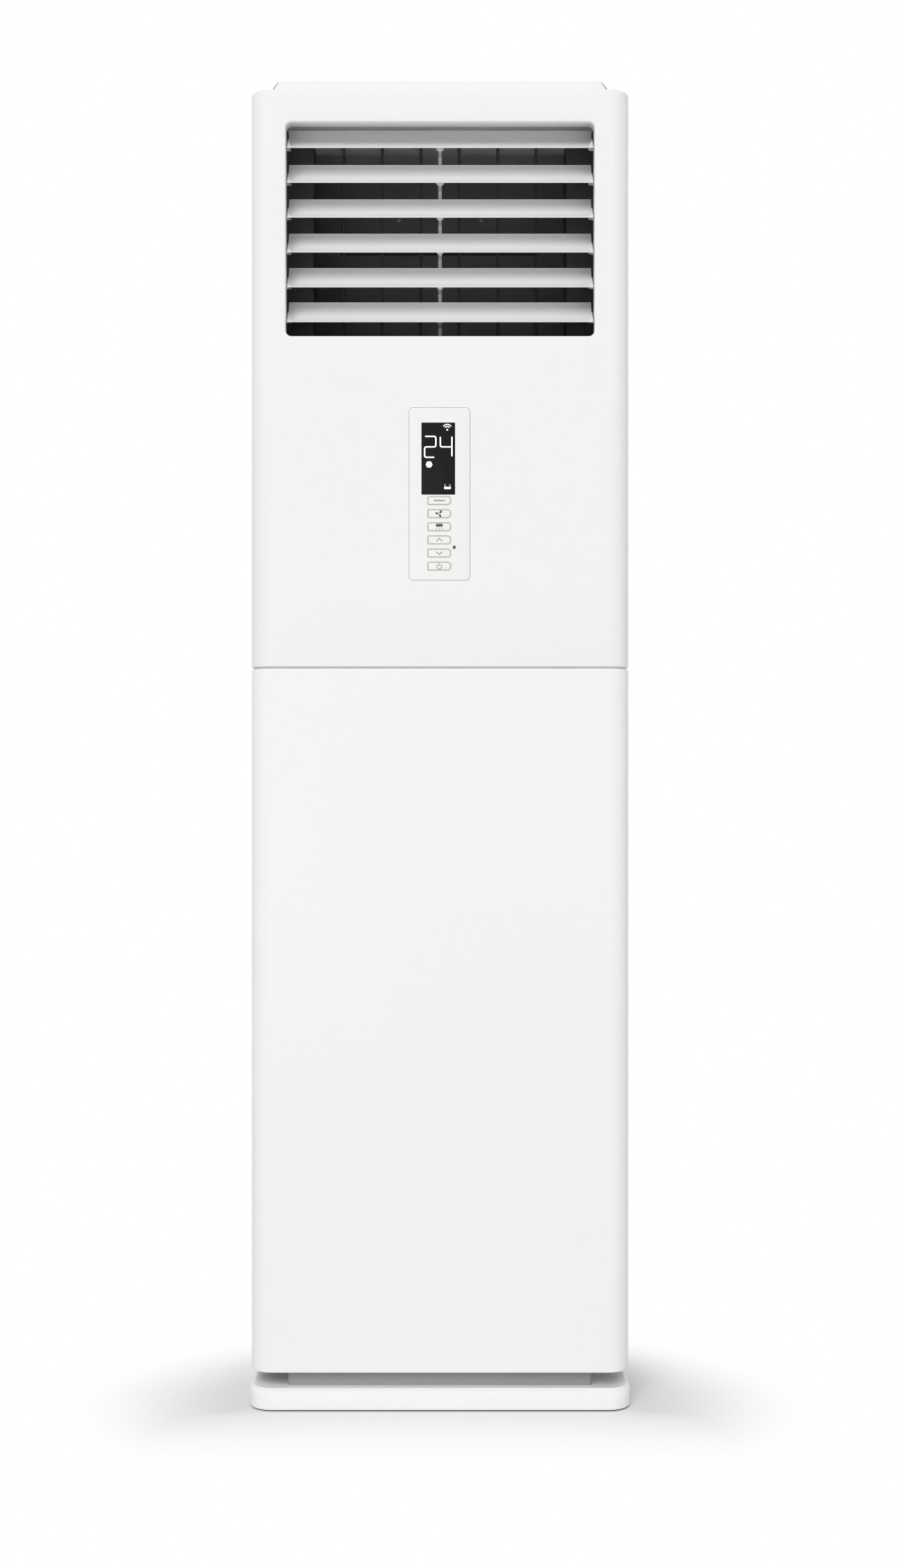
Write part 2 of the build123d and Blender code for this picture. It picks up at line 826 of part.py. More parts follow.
def ear_section():
    """A tapered ear that joins the pivot to the underside of the blade."""
    with BuildSketch() as section:
        Trapezoid(2 * ear_half, pivot_drop + pivot_boss, ear_flank, rotation=blade_slope)
    return section.sketch.moved(
        Location((normal_y * (pivot_boss - pivot_drop) / 2, normal_z * (pivot_boss - pivot_drop) / 2))
    )


def crank_outline(reach):
    """Crank plate from its round end, about the pivot at the origin, to its square end."""
    side = pivot_boss * sin(radians(right_angle / 2))
    with BuildSketch() as outline:
        with BuildLine():
            ThreePointArc((-side, side), (-pivot_boss, 0), (-side, -side))
            Polyline((-side, -side), (reach, -side), (reach, side), (-side, side))
        make_face()
    return outline.sketch


def link_outline(span):
    """Flat link along local Y, its ends rounded about its first and last holes."""
    rise = (link_end**2 - link_width**2 / 4) ** 0.5
    side, half = link_width / 2, span / 2
    with BuildSketch() as outline:
        with BuildLine():
            ThreePointArc((-side, half + rise), (0, half + link_end), (side, half + rise))
            Line((side, half + rise), (side, -half - rise))
            ThreePointArc((side, -half - rise), (0, -half - link_end), (-side, -half - rise))
            Line((-side, -half - rise), (-side, half + rise))
        make_face()
    return outline.sketch


def louver(level, with_drive):
    """One louver: blade, end bosses and pins, centre ears and pin, drive crank."""
    wall = duct_half + duct_wall
    ear_x = support_width / 2 + fit_gap
    with BuildPart() as blade:
        with BuildSketch(beside(-blade_half, pivot_y, level)):
            add(blade_section())
        extrude(amount=2 * blade_half)
        for start, length in (
            (-blade_half, boss_length),
            (blade_half - boss_length, boss_length),
            (-ear_x - ear_width, ear_width),
            (ear_x, ear_width),
        ):
            with BuildSketch(beside(start, pivot_y, level)):
                add(ear_section())
            extrude(amount=length)
        with BuildSketch(beside(-ear_x, pivot_y, level)):
            RegularPolygon(centre_pin, rod_sides)
        extrude(amount=2 * ear_x)
        with BuildSketch(beside(-wall - pin_reach, pivot_y, level)):
            RegularPolygon(pivot_pin, rod_sides)
        extrude(amount=wall + pin_reach - blade_half)
        with BuildSketch(beside(blade_half, pivot_y, level)):
            RegularPolygon(pivot_pin, rod_sides)
        drive_end = louver_motor_x + socket_reach if with_drive else crank_x
        extrude(amount=drive_end - blade_half)
        with BuildSketch(beside(crank_x, pivot_y, level)):
            add(crank_outline(crank_throw + 2 * crank_pin))
        extrude(amount=crank_plate)
        with BuildSketch(beside(crank_x + crank_plate, pivot_y + crank_throw, level)):
            RegularPolygon(crank_pin, rod_sides)
        extrude(amount=link_gap + link_thickness + pin_reach)
    return blade


louvers = [louver(level, level == louver_levels[0]) for level in louver_levels]

with BuildPart() as louver_link:
    with BuildSketch(beside(link_x, pivot_y + crank_throw, duct_middle)):
        add(link_outline(louver_levels[0] - louver_levels[-1]))
        with GridLocations(0, louver_pitch, 1, louver_count):
            RegularPolygon(
                crank_pin + running_gap, rod_sides, major_radius=False, mode=Mode.SUBTRACT
            )
    extrude(amount=link_thickness)


def swing_motor(mounting, socket_radius):
    """Geared stepper motor. The mounting plane holds its ears, the output at its origin."""
    with BuildPart() as motor:
        with BuildSketch(mounting):
            with Locations((motor_offset, 0)):
                Rectangle(motor_ear_width, motor_ear_spacing + motor_ear_width)
        extrude(amount=motor_ear_sheet)
        with BuildSketch(mounting):
            with Locations((motor_offset, 0)):
                RegularPolygon(motor_radius, can_sides)
                with Locations((motor_radius, 0)):
                    Rectangle(2 * motor_lead_rise, motor_lead_width)
        extrude(amount=motor_length)
        with BuildSketch(mounting):
            RegularPolygon(socket_radius + running_gap, rod_sides, major_radius=False)
        extrude(amount=socket_reach + fit_gap, mode=Mode.SUBTRACT)
    return motor


louver_motor = swing_motor(
    Plane(
        origin=(louver_motor_x, pivot_y, louver_levels[0]), x_dir=(0, -1, 0), z_dir=(1, 0, 0)
    ),
    pivot_pin,
)
vane_motor = swing_motor(
    Plane(
        origin=(vane_places[-1], vane_pivot_y, vane_motor_level), x_dir=(0, 1, 0), z_dir=(0, 0, 1)
    ),
    vane_pin,
)


def vane(x, with_drive):
    """One upright vane with its spine, end pins and the notch for the link."""
    bottom = sleeve_bottom + vane_end_gap
    top = sleeve_top - vane_end_gap
    pin_bottom = sleeve_bottom - duct_wall
    pin_top = vane_motor_level + socket_reach if with_drive else sleeve_top + duct_wall
    vane_back = vane_front + vane_chord
    notch_front = vane_pin_y - vane_notch_inset
    nose_radius = (vane_pivot_inset**2 + vane_edge**2 / 4) ** 0.5
    with BuildPart() as leaf:
        with BuildSketch(Plane.XY.offset(bottom)):
            with BuildLine():
                RadiusArc(
                    (x - vane_edge / 2, vane_front), (x + vane_edge / 2, vane_front), nose_radius
                )
                Polyline(
                    (x + vane_edge / 2, vane_front),
                    (x + vane_thickness / 2, vane_pin_y),
                    (x + vane_edge / 2, vane_back),
                    (x - vane_edge / 2, vane_back),
                    (x - vane_thickness / 2, vane_pin_y),
                    (x - vane_edge / 2, vane_front),
                )
            make_face()
        extrude(amount=top - bottom)
        with BuildSketch(Plane.XY.offset(vane_middle - vane_notch / 2)):
            with Locations((x, (notch_front + vane_back) / 2)):
                Rectangle(2 * vane_thickness, vane_back - notch_front + fit_gap)
        extrude(amount=vane_notch, mode=Mode.SUBTRACT)
        with BuildSketch(Plane.XY.offset(vane_middle - vane_notch / 2)):
            with Locations((x, vane_pin_y)):
                RegularPolygon(crank_pin, rod_sides)
        extrude(amount=vane_notch)
        with BuildSketch(Plane.XY.offset(pin_bottom)):
            with Locations((x, vane_pivot_y)):
                RegularPolygon(vane_pin, rod_sides)
        extrude(amount=pin_top - pin_bottom)
    return leaf


vanes = [vane(x, x == vane_places[-1]) for x in vane_places]

with BuildPart() as vane_link:
    with BuildSketch(Plane.XY.offset(vane_middle - vane_link_thickness / 2)):
        with Locations((0, vane_pin_y)):
            add(link_outline(vane_places[-1] - vane_places[0]), rotation=right_angle)
            with GridLocations(vane_pitch, 0, vane_count, 1):
                RegularPolygon(
                    crank_pin + running_gap, rod_sides, major_radius=False, mode=Mode.SUBTRACT
                )
    extrude(amount=vane_link_thickness)

# ---------------------------------------------------------------------------
# Control panel
# ---------------------------------------------------------------------------


def key_outline(grow):
    """Outline of a key: tight corners on the left, rounder ones on the right."""
    with BuildSketch() as outline:
        Rectangle(button_width + 2 * grow, button_height + 2 * grow)
        corners = outline.vertices()
        chamfer(corners.group_by(Axis.X)[0], button_left_corner + grow / 2)
        chamfer(corners.group_by(Axis.X)[-1], button_right_corner + grow / 2)
    return outline.sketch


with BuildPart() as control_bezel:
    with BuildSketch(facing(bezel_face)):
        with Locations((bezel_shift, bezel_level)):
            add(cut_corner_plate(bezel_width, bezel_height, bezel_corner))
    extrude(amount=-(inner_front - bezel_face))
    chamfer(control_bezel.faces().sort_by(Axis.Y)[0].edges(), bezel_proud)
    with BuildSketch(facing(inner_front)):
        with Locations((bezel_shift, bezel_level)):
            Rectangle(bezel_width + 2 * bezel_flange, bezel_height + 2 * bezel_flange)
    extrude(amount=-bezel_flange_sheet)
    with BuildSketch(facing(bezel_back)):
        with Locations((bezel_shift, bezel_level)):
            with GridLocations(bezel_width, bezel_height, 2, 2):
                Rectangle(board_post, board_post)
    extrude(amount=-board_gap)
    with BuildSketch(facing(bezel_face)):
        with Locations((display_shift, display_level)):
            Rectangle(display_width + 2 * fit_gap, display_height + 2 * fit_gap)
        with Locations((lens_shift, lens_level)):
            RegularPolygon(lens_radius + running_gap, lens_sides)
        for level in button_levels:
            with Locations((button_shift, level)):
                add(key_outline(button_gap))
    extrude(amount=-(bezel_back - bezel_face), mode=Mode.SUBTRACT)

with BuildPart() as display_window:
    with BuildSketch(facing(bezel_face + fit_gap)):
        with Locations((display_shift, display_level)):
            Rectangle(display_width, display_height)
    extrude(amount=-(board_y - bezel_face - fit_gap))

with BuildPart() as signal_lens:
    with BuildSketch(facing(bezel_face - fit_gap)):
        with Locations((lens_shift, lens_level)):
            RegularPolygon(lens_radius, lens_sides)
    extrude(amount=-(bezel_back - bezel_face + fit_gap))
    with BuildSketch(facing(bezel_back)):
        with Locations((lens_shift, lens_level)):
            RegularPolygon(1.5 * lens_radius, lens_sides)
    extrude(amount=-bezel_flange_sheet)

with BuildPart() as control_board:
    with BuildSketch(facing(board_y)):
        with Locations((bezel_shift, bezel_level)):
            Rectangle(bezel_width + bezel_flange, bezel_height + bezel_flange)
    extrude(amount=-board_sheet)
    with BuildSketch(facing(board_y)):
        with Locations(*[(button_shift, z) for z in button_levels]):
            Rectangle(switch_size, switch_size)
    extrude(amount=switch_rise)


def button(level):
    """One key with its retaining flange and the stem that meets the switch."""
    with BuildPart() as key:
        with BuildSketch(facing(bezel_face - button_proud)):
            with Locations((button_shift, level)):
                add(key_outline(0))
        extrude(amount=-(bezel_back + fit_gap - bezel_face + button_proud))
        with BuildSketch(facing(bezel_back + fit_gap)):
            with Locations((button_shift, level)):
                Rectangle(button_width + 2 * button_flange, button_height + 2 * button_flange)
        extrude(amount=-button_flange_sheet)
        with BuildSketch(facing(bezel_back + fit_gap + button_flange_sheet)):
            with Locations((button_shift, level)):
                Rectangle(2 * stem_radius, 2 * stem_radius)
        stem_end = board_y - switch_rise - button_travel - fit_gap
        extrude(amount=-(stem_end - bezel_back - fit_gap - button_flange_sheet))
    return key


buttons = [button(level) for level in button_levels]

# ---------------------------------------------------------------------------
# Deck, blower and its motor
# ---------------------------------------------------------------------------


def scroll_outline():
    """Inside of the scroll from the front: three widening arcs, then the mouth."""
    first = (blower_x - scroll_step / 2, blower_level - scroll_step / 2)
    second = (first[0] + scroll_step, first[1])
    third = (second[0], second[1] + scroll_step)
    widest = scroll_start + 2 * scroll_step
    with BuildSketch() as outline:
        with BuildLine():
            CenterArc(first, scroll_start, 90, 90)
            CenterArc(second, scroll_start + scroll_step, 180, 90)
            CenterArc(third, widest, 270, 90)
            Polyline(
                (third[0] + widest, third[1]),
                (third[0] + widest, deck_level),
                (first[0], deck_level),
                (first[0], first[1] + scroll_start),
            )
        make_face()
        tongue = outline.vertices().sort_by_distance((first[0], first[1] + scroll_start, 0))[0]
        fillet(tongue, tongue_round)
    return outline.sketch


def scroll_hull():
    """Outside of the scroll, ending level under the deck."""
    with BuildSketch() as hull:
        add(scroll_outline())
        offset(amount=scroll_wall, kind=Kind.INTERSECTION)
        with Locations((0, deck_level)):
            Rectangle(
                cabinet_width, 2 * scroll_wall, align=(Align.CENTER, Align.MIN), mode=Mode.SUBTRACT
            )
    return hull.sketch


mouth_left = blower_x - scroll_step / 2
mouth_right = blower_x + scroll_step / 2 + scroll_start + 2 * scroll_step
mouth_width = mouth_right - mouth_left
mouth_middle = (mouth_right + mouth_left) / 2
mouth_depth = scroll_back - scroll_front - 2 * scroll_wall
mouth_middle_y = (scroll_back + scroll_front) / 2

with BuildPart() as partition_plate:
    with BuildSketch(Plane.XY.offset(deck_level)):
        add(front_outline(frame_inset, frame_rear))
    extrude(amount=sheet)
    extrude(partition_plate.faces().sort_by(Axis.Z)[0], amount=deck_rim)
    with BuildSketch(Plane.XY.offset(deck_level)):
        add(front_outline(frame_inset + sheet, frame_rear - sheet))
    extrude(amount=-deck_rim, mode=Mode.SUBTRACT)
    with BuildSketch(Plane.XY.offset(deck_level)):
        with Locations((mouth_middle, mouth_middle_y)):
            Rectangle(mouth_width, mouth_depth)
        with Locations((pipe_drop_x, (gas_start.Y + liquid_start.Y) / 2)):
            Rectangle(pipe_slot_width, pipe_slot_length)
        with Locations((spout_x, spout_y)):
            Rectangle(2 * hose_radius + fit_gap, 2 * hose_radius + fit_gap)
    extrude(amount=sheet, mode=Mode.SUBTRACT)

with BuildPart() as fan_housing_rear:
    front_edge = scroll_front + scroll_wall
    with BuildSketch(facing(scroll_back)):
        add(scroll_hull())
    extrude(amount=scroll_back - front_edge)
    with BuildSketch(facing(scroll_back - scroll_wall)):
        add(scroll_outline())
    extrude(amount=scroll_back - scroll_wall - front_edge, mode=Mode.SUBTRACT)
    with BuildSketch(facing(scroll_back)):
        with Locations((blower_x, blower_level)):
            RegularPolygon(fan_motor_radius + motor_hole_gap, ring_sides)
    extrude(amount=scroll_wall, mode=Mode.SUBTRACT)
    # Flange under the deck on three sides of the mouth
    with BuildSketch(Plane.XY.offset(deck_level)):
        with Locations((mouth_middle, front_edge)):
            Rectangle(
                mouth_width + 2 * (scroll_wall + scroll_flange),
                scroll_back + scroll_flange - front_edge,
                align=(Align.CENTER, Align.MIN),
            )
            Rectangle(
                mouth_width + 2 * scroll_wall,
                scroll_back - front_edge,
                align=(Align.CENTER, Align.MIN),
                mode=Mode.SUBTRACT,
            )
    extrude(amount=-scroll_wall)
    # Feet that stand on the back panel
    with BuildSketch(facing(scroll_back)):
        with Locations((blower_x, blower_level)):
            with GridLocations(foot_spacing_x, foot_spacing_z, 2, 2):
                Rectangle(foot_size, foot_size)
    extrude(amount=-(frame_rear - scroll_back))

with BuildPart() as fan_housing_front:
    plate_bottom = blower_level - scroll_start - 2 * scroll_step - scroll_wall
    plate_left = mouth_left - scroll_start - scroll_wall
    plate_right = mouth_right + scroll_wall
    with BuildSketch(facing(scroll_front)):
        with Locations(((plate_left + plate_right) / 2, (plate_bottom + deck_level) / 2)):
            plate = Rectangle(plate_right - plate_left, deck_level - plate_bottom)
        chamfer(plate.vertices().group_by(Axis.Y)[0], plate_cut)
        with Locations((blower_x, blower_level)):
            RegularPolygon(inlet_radius, ring_sides, mode=Mode.SUBTRACT)
    extrude(amount=-scroll_wall)
    with BuildSketch(facing(scroll_front + scroll_wall)):
        with Locations((blower_x, blower_level)):
            RegularPolygon(inlet_radius + scroll_wall, ring_sides)
            RegularPolygon(inlet_radius, ring_sides, mode=Mode.SUBTRACT)
    extrude(amount=-(inlet_collar - scroll_wall))

wheel_plane = facing(wheel_front).shift_origin((blower_x, wheel_front, blower_level))


def wheel_blade():
    """Plan of one forward-curved blade, starting on the +X axis of the wheel."""
    rim = wheel_radius - wheel_ring / 2
    tip = (rim * cos(radians(blade_sweep)), rim * sin(radians(blade_sweep)))
    waist = ((wheel_bore + tip[0]) / 2, tip[1] / 2 - blade_camber)
    hollow = [(wheel_bore, 0), waist, tip]
    back = [(x, y - blade_gauge) for x, y in reversed(hollow)]
    with BuildSketch() as blade:
        Polygon(*hollow, *back, align=None)
    return blade.sketch


with BuildPart() as blower_wheel:
    with BuildSketch(wheel_plane):
        with PolarLocations(0, blade_count):
            add(wheel_blade())
    extrude(amount=-wheel_width)
    with BuildSketch(wheel_plane):
        RegularPolygon(wheel_radius, ring_sides)
        RegularPolygon(wheel_bore - wheel_ring / 2, ring_sides, mode=Mode.SUBTRACT)
    extrude(amount=-wheel_ring)
    # Rear disc, dished forward to the hub
    with BuildSketch(facing(wheel_back)):
        with Locations((blower_x, blower_level)):
            RegularPolygon(wheel_radius, ring_sides)
    extrude(amount=wheel_ring)
    with BuildSketch(facing(wheel_back)):
        with Locations((blower_x, blower_level)):
            RegularPolygon(dish_radius + wheel_ring, ring_sides)
    extrude(amount=dish_depth + wheel_ring)
    with BuildSketch(facing(wheel_back)):
        with Locations((blower_x, blower_level)):
            RegularPolygon(dish_radius, ring_sides)
    extrude(amount=dish_depth, mode=Mode.SUBTRACT)
    with BuildSketch(facing(hub_front)):
        with Locations((blower_x, blower_level)):
            RegularPolygon(hub_radius, can_sides)
    extrude(amount=-hub_length)
    with BuildSketch(facing(hub_front)):
        with Locations((blower_x, blower_level)):
            RegularPolygon(shaft_radius + running_gap, rod_sides, major_radius=False)
    extrude(amount=-hub_length, mode=Mode.SUBTRACT)

with BuildPart() as motor_shaft:
    with BuildSketch(facing(hub_front)):
        with Locations((blower_x, blower_level)):
            Circle(shaft_radius)
    extrude(amount=-(shaft_back - hub_front))

with BuildPart() as wheel_nut:
    with BuildSketch(facing(hub_front)):
        with Locations((blower_x, blower_level)):
            RegularPolygon(nut_across / 2, 6, major_radius=False)
    extrude(amount=nut_length)

with BuildPart() as fan_motor:
    with BuildSketch(facing(motor_face)):
        with Locations((blower_x, blower_level)):
            RegularPolygon(fan_motor_radius, ring_sides)
    extrude(amount=-fan_motor_length)
    with BuildSketch(facing(scroll_back)):
        with Locations((blower_x, blower_level)):
            with Locations(Rotation(0, 0, 45)):
                lug_span = 2 * (fan_motor_radius + lug_reach)
                Rectangle(lug_span, lug_width)
                Rectangle(lug_width, lug_span)
    extrude(amount=-lug_sheet)
    with BuildSketch(facing(motor_face)):
        with Locations((blower_x, blower_level)):
            RegularPolygon(bearing_radius, can_sides)
    extrude(amount=bearing_length)
    with BuildSketch(facing(motor_face - bearing_length)):
        with Locations((blower_x, blower_level)):
            RegularPolygon(shaft_radius + running_gap, rod_sides, major_radius=False)
    extrude(amount=-(bearing_length + shaft_reach + fit_gap), mode=Mode.SUBTRACT)

# ---------------------------------------------------------------------------
# Evaporator, drain and refrigerant pipes
# ---------------------------------------------------------------------------

tube_seats = [(coil_thickness / 2, height) for height in tube_heights]


def slab_level(x):
    """A plane across the leaning slab at x. Its local axes run through it and up it."""
    return Plane(
        origin=coil_plane.from_local_coords((x, 0, 0)), x_dir=coil_plane.y_dir, z_dir=(1, 0, 0)
    )


with BuildPart() as evaporator_fins:
    groove_pitch = (coil_right - coil_left) / groove_count
    with BuildSketch(coil_plane):
        with Locations(((coil_right + coil_left) / 2, coil_thickness / 2)):
            Rectangle(coil_right - coil_left, coil_thickness)
            with GridLocations(groove_pitch, coil_thickness - fin_groove_depth, groove_count, 2):
                Rectangle(fin_groove_width, fin_groove_depth, mode=Mode.SUBTRACT)
    extrude(amount=coil_length)
    with BuildSketch(slab_level(coil_left)):
        with Locations(*tube_seats):
            RegularPolygon(tube_radius + running_gap, rod_sides, major_radius=False)
    extrude(amount=coil_right - coil_left, mode=Mode.SUBTRACT)

with BuildPart() as evaporator_tubes:
    with BuildSketch(slab_level(left_header_x)):
        with Locations(*tube_seats):
            RegularPolygon(tube_radius, rod_sides)
    extrude(amount=right_header_x - left_header_x)
    with BuildSketch(coil_plane.offset(tube_heights[0] - header_reach)):
        for x in (left_header_x, right_header_x):
            with Locations((x, coil_thickness / 2)):
                RegularPolygon(header_radius, rod_sides)
    extrude(amount=tube_heights[-1] - tube_heights[0] + 2 * header_reach)
    # Stubs on the right header that meet the two refrigerant pipes
    for start, radius in ((gas_start, gas_radius), (liquid_start, liquid_radius)):
        with BuildSketch(beside(right_header_x, start.Y, start.Z)):
            RegularPolygon(radius, rod_sides)
        extrude(amount=stub_end_x - right_header_x)

with BuildPart() as right_coil_bracket:
    with BuildSketch(slab_level(coil_right)):
        with Locations((coil_thickness / 2, coil_length / 2)):
            Rectangle(coil_thickness, coil_length)
            Rectangle(
                coil_thickness - 2 * bracket_lip, coil_length - 2 * bracket_lip, mode=Mode.SUBTRACT
            )
    extrude(amount=bracket_sheet)
    for height in (bracket_inset, coil_length - bracket_inset):
        with BuildSketch(slab_level(coil_right)):
            with Locations((bracket_sheet / 2, height)):
                Rectangle(bracket_sheet, bracket_tab)
        extrude(amount=side_inner - coil_right)
        with BuildSketch(slab_level(side_inner)):
            with Locations((bracket_foot / 2, height)):
                Rectangle(bracket_foot, bracket_tab)
        extrude(amount=-bracket_sheet)

with BuildPart() as left_coil_bracket:
    with BuildSketch(slab_level(coil_left)):
        with Locations((coil_thickness / 2, coil_length / 2)):
            Rectangle(coil_thickness, coil_length)
            Rectangle(
                coil_thickness - 2 * bracket_lip, coil_length - 2 * bracket_lip, mode=Mode.SUBTRACT
            )
    extrude(amount=-bracket_sheet)
    for height in (bracket_inset, coil_length - bracket_inset):
        with BuildSketch(slab_level(coil_left)):
            with Locations((bracket_sheet / 2, height)):
                Rectangle(bracket_sheet, bracket_tab)
        extrude(amount=-(side_inner + coil_left))
        with BuildSketch(slab_level(-side_inner)):
            with Locations((bracket_foot / 2, height)):
                Rectangle(bracket_foot, bracket_tab)
        extrude(amount=bracket_sheet)

with BuildPart() as drain_pan:
    tray_middle = (tray_right + tray_left) / 2
    tray_middle_y = (tray_front + tray_back) / 2
    with BuildSketch(Plane.XY.offset(deck_top)):
        with Locations((tray_middle, tray_middle_y)):
            Rectangle(tray_right - tray_left, tray_depth)
    extrude(amount=tray_height)
    with BuildSketch(Plane.XY.offset(deck_top + tray_wall)):
        with Locations((tray_middle, tray_middle_y)):
            Rectangle(tray_right - tray_left - 2 * tray_wall, tray_depth - 2 * tray_wall)
    extrude(amount=tray_height, mode=Mode.SUBTRACT)
    # Saddles under the coil
    foot = coil_plane.from_local_coords((0, coil_thickness, 0))
    rib_pitch = (coil_right - coil_left) / tray_rib_count
    for number in range(tray_rib_count):
        with BuildSketch(beside(coil_left + rib_pitch * (number + 0.5))):
            Polygon(
                (coil_front, deck_top),
                (foot.Y, deck_top),
                (foot.Y, foot.Z),
                (coil_front, coil_bottom),
                align=None,
            )
        extrude(amount=tray_rib)
    # Spout through the deck
    with BuildSketch(Plane.XY.offset(deck_top)):
        with Locations((spout_x, spout_y)):
            RegularPolygon(hose_bore - running_gap, rod_sides)
    extrude(amount=-spout_length)
    with BuildSketch(Plane.XY.offset(deck_top + tray_wall)):
        with Locations((spout_x, spout_y)):
            RegularPolygon(spout_bore, rod_sides)
    extrude(amount=-(spout_length + tray_wall), mode=Mode.SUBTRACT)

with BuildPart() as drain_hose:
    hose_top = deck_top - spout_length + spout_grip
    with BuildSketch(Plane.XY.offset(hose_end)):
        with Locations((spout_x, spout_y)):
            RegularPolygon(hose_radius, can_sides)
            RegularPolygon(hose_bore, can_sides, major_radius=False, mode=Mode.SUBTRACT)
    extrude(amount=hose_top - hose_end)


def drop_pipe(start, radius):
    """A pipe that leaves the coil sideways, turns down and ends near the passage."""
    with BuildPart() as pipe:
        with BuildLine():
            FilletPolyline(
                (stub_end_x, start.Y, start.Z),
                (pipe_drop_x, start.Y, start.Z),
                (pipe_drop_x, start.Y, pipe_end),
                radius=pipe_bend,
            )
        with BuildSketch(beside(stub_end_x, start.Y, start.Z)):
            RegularPolygon(radius, rod_sides)
        sweep()
    return pipe


gas_pipe = drop_pipe(gas_start, gas_radius)
liquid_pipe = drop_pipe(liquid_start, liquid_radius)


# Hexagonal caps that close the two pipe ends
with BuildPart() as cap_nuts:
    with BuildSketch(Plane.XY.offset(pipe_end)):
        for start, across in ((gas_start, gas_nut_across), (liquid_start, liquid_nut_across)):
            with Locations((pipe_drop_x, start.Y)):
                RegularPolygon(across / 2, 6, major_radius=False)
    extrude(amount=-cap_nut_length)
    chamfer(cap_nuts.faces().group_by(Axis.Z)[0].edges(), cap_nut_chamfer)

# ---------------------------------------------------------------------------
# Electrical box
# ---------------------------------------------------------------------------

box_left = -half_width + box_left_gap
box_right = half_width - box_right_gap
box_width = box_right - box_left
box_middle = (box_right + box_left) / 2
box_face = front_y + box_front_gap + box_cover
box_back = scroll_front - box_back_gap

with BuildPart() as electrical_box:
    with BuildSketch(facing(box_face)):
        with Locations((box_middle, deck_level - box_height / 2)):
            Rectangle(box_width, box_height)
    extrude(amount=-(box_back - box_face))
    with BuildSketch(facing(box_face)):
        with Locations((box_middle, deck_level - box_height / 2)):
            Rectangle(box_width - 2 * sheet, box_height - 2 * sheet)
    extrude(amount=-(box_back - box_face - sheet), mode=Mode.SUBTRACT)

with BuildPart() as electrical_box_cover:
    with BuildSketch(facing(box_face)):
        with Locations((box_middle, deck_level - deck_rim - box_height / 2)):
            Rectangle(box_width, box_height - deck_rim)
    extrude(amount=box_cover)

with BuildPart() as terminal_block:
    with BuildSketch(facing(box_back - sheet)):
        with Locations((box_middle, deck_level - terminal_drop)):
            Rectangle(terminal_length, terminal_height)
    extrude(amount=terminal_depth)
    with BuildSketch(facing(box_back - sheet - terminal_depth)):
        with Locations((box_middle, deck_level - terminal_drop)):
            with GridLocations(terminal_length / terminal_ways, 0, terminal_ways, 1):
                Rectangle(terminal_length / terminal_ways - tray_wall, terminal_height - tray_wall)
    extrude(amount=-terminal_depth / 2, mode=Mode.SUBTRACT)

# ---------------------------------------------------------------------------
# Side intakes and cable gland
# ---------------------------------------------------------------------------

with BuildPart() as right_intake_grille:
    core_width = intake_width - 2 * fit_gap
    core_height = intake_height - 2 * fit_gap
    slat_pitch = (core_height - 2 * grille_wall) / slat_count
    with BuildSketch(beside(half_width, intake_middle_y, intake_middle)):
        Rectangle(core_width + 2 * grille_flange, core_height + 2 * grille_flange)
    extrude(amount=grille_sheet)
    with BuildSketch(beside(half_width, intake_middle_y, intake_middle)):
        Rectangle(core_width, core_height)
    extrude(amount=-grille_depth)
    with BuildSketch(beside(half_width - grille_depth, intake_middle_y, intake_middle)):
        Rectangle(core_width - 2 * grille_wall, core_height - 2 * grille_wall)
    extrude(amount=grille_depth + grille_sheet, mode=Mode.SUBTRACT)
    with BuildSketch(facing(intake_front + fit_gap)):
        with Locations((half_width - grille_depth / 2, intake_middle)):
            with GridLocations(0, slat_pitch, 1, slat_count):
                Rectangle(slat_chord, slat_thickness, rotation=slat_tilt)
    extrude(amount=-core_width)
    split(bisect_by=Plane.YZ.offset(half_width - grille_depth), keep=Keep.TOP)

with BuildPart() as left_intake_grille:
    mirror(right_intake_grille.part, about=Plane.YZ)

with BuildPart() as right_air_filter:
    filter_x = half_width - grille_depth - filter_thickness
    filter_width = intake_width - 2 * fit_gap
    filter_height = intake_height - 2 * fit_gap
    with BuildSketch(beside(filter_x, intake_middle_y, intake_middle)):
        Rectangle(filter_width, filter_height)
        Rectangle(
            filter_width - 2 * filter_frame, filter_height - 2 * filter_frame, mode=Mode.SUBTRACT
        )
        with GridLocations(0, filter_height / (filter_bars + 1), 1, filter_bars):
            Rectangle(filter_width - filter_frame, filter_frame)
    extrude(amount=filter_thickness)
    with BuildSketch(beside(filter_x, intake_middle_y, intake_middle)):
        Rectangle(filter_width - filter_frame, filter_height - filter_frame)
    extrude(amount=filter_mesh)

with BuildPart() as left_air_filter:
    mirror(right_air_filter.part, about=Plane.YZ)

with BuildPart() as cable_gland:
    with BuildSketch(beside(half_width, gland_y, gland_level)):
        RegularPolygon(gland_head_across / 2, 6, major_radius=False)
    extrude(amount=gland_head)
    with BuildSketch(beside(half_width, gland_y, gland_level)):
        RegularPolygon(gland_across / 2, 6, major_radius=False)
    extrude(amount=-gland_body)
    with BuildSketch(beside(half_width - gland_body, gland_y, gland_level)):
        RegularPolygon(gland_bore, rod_sides)
    extrude(amount=gland_body + gland_head, mode=Mode.SUBTRACT)

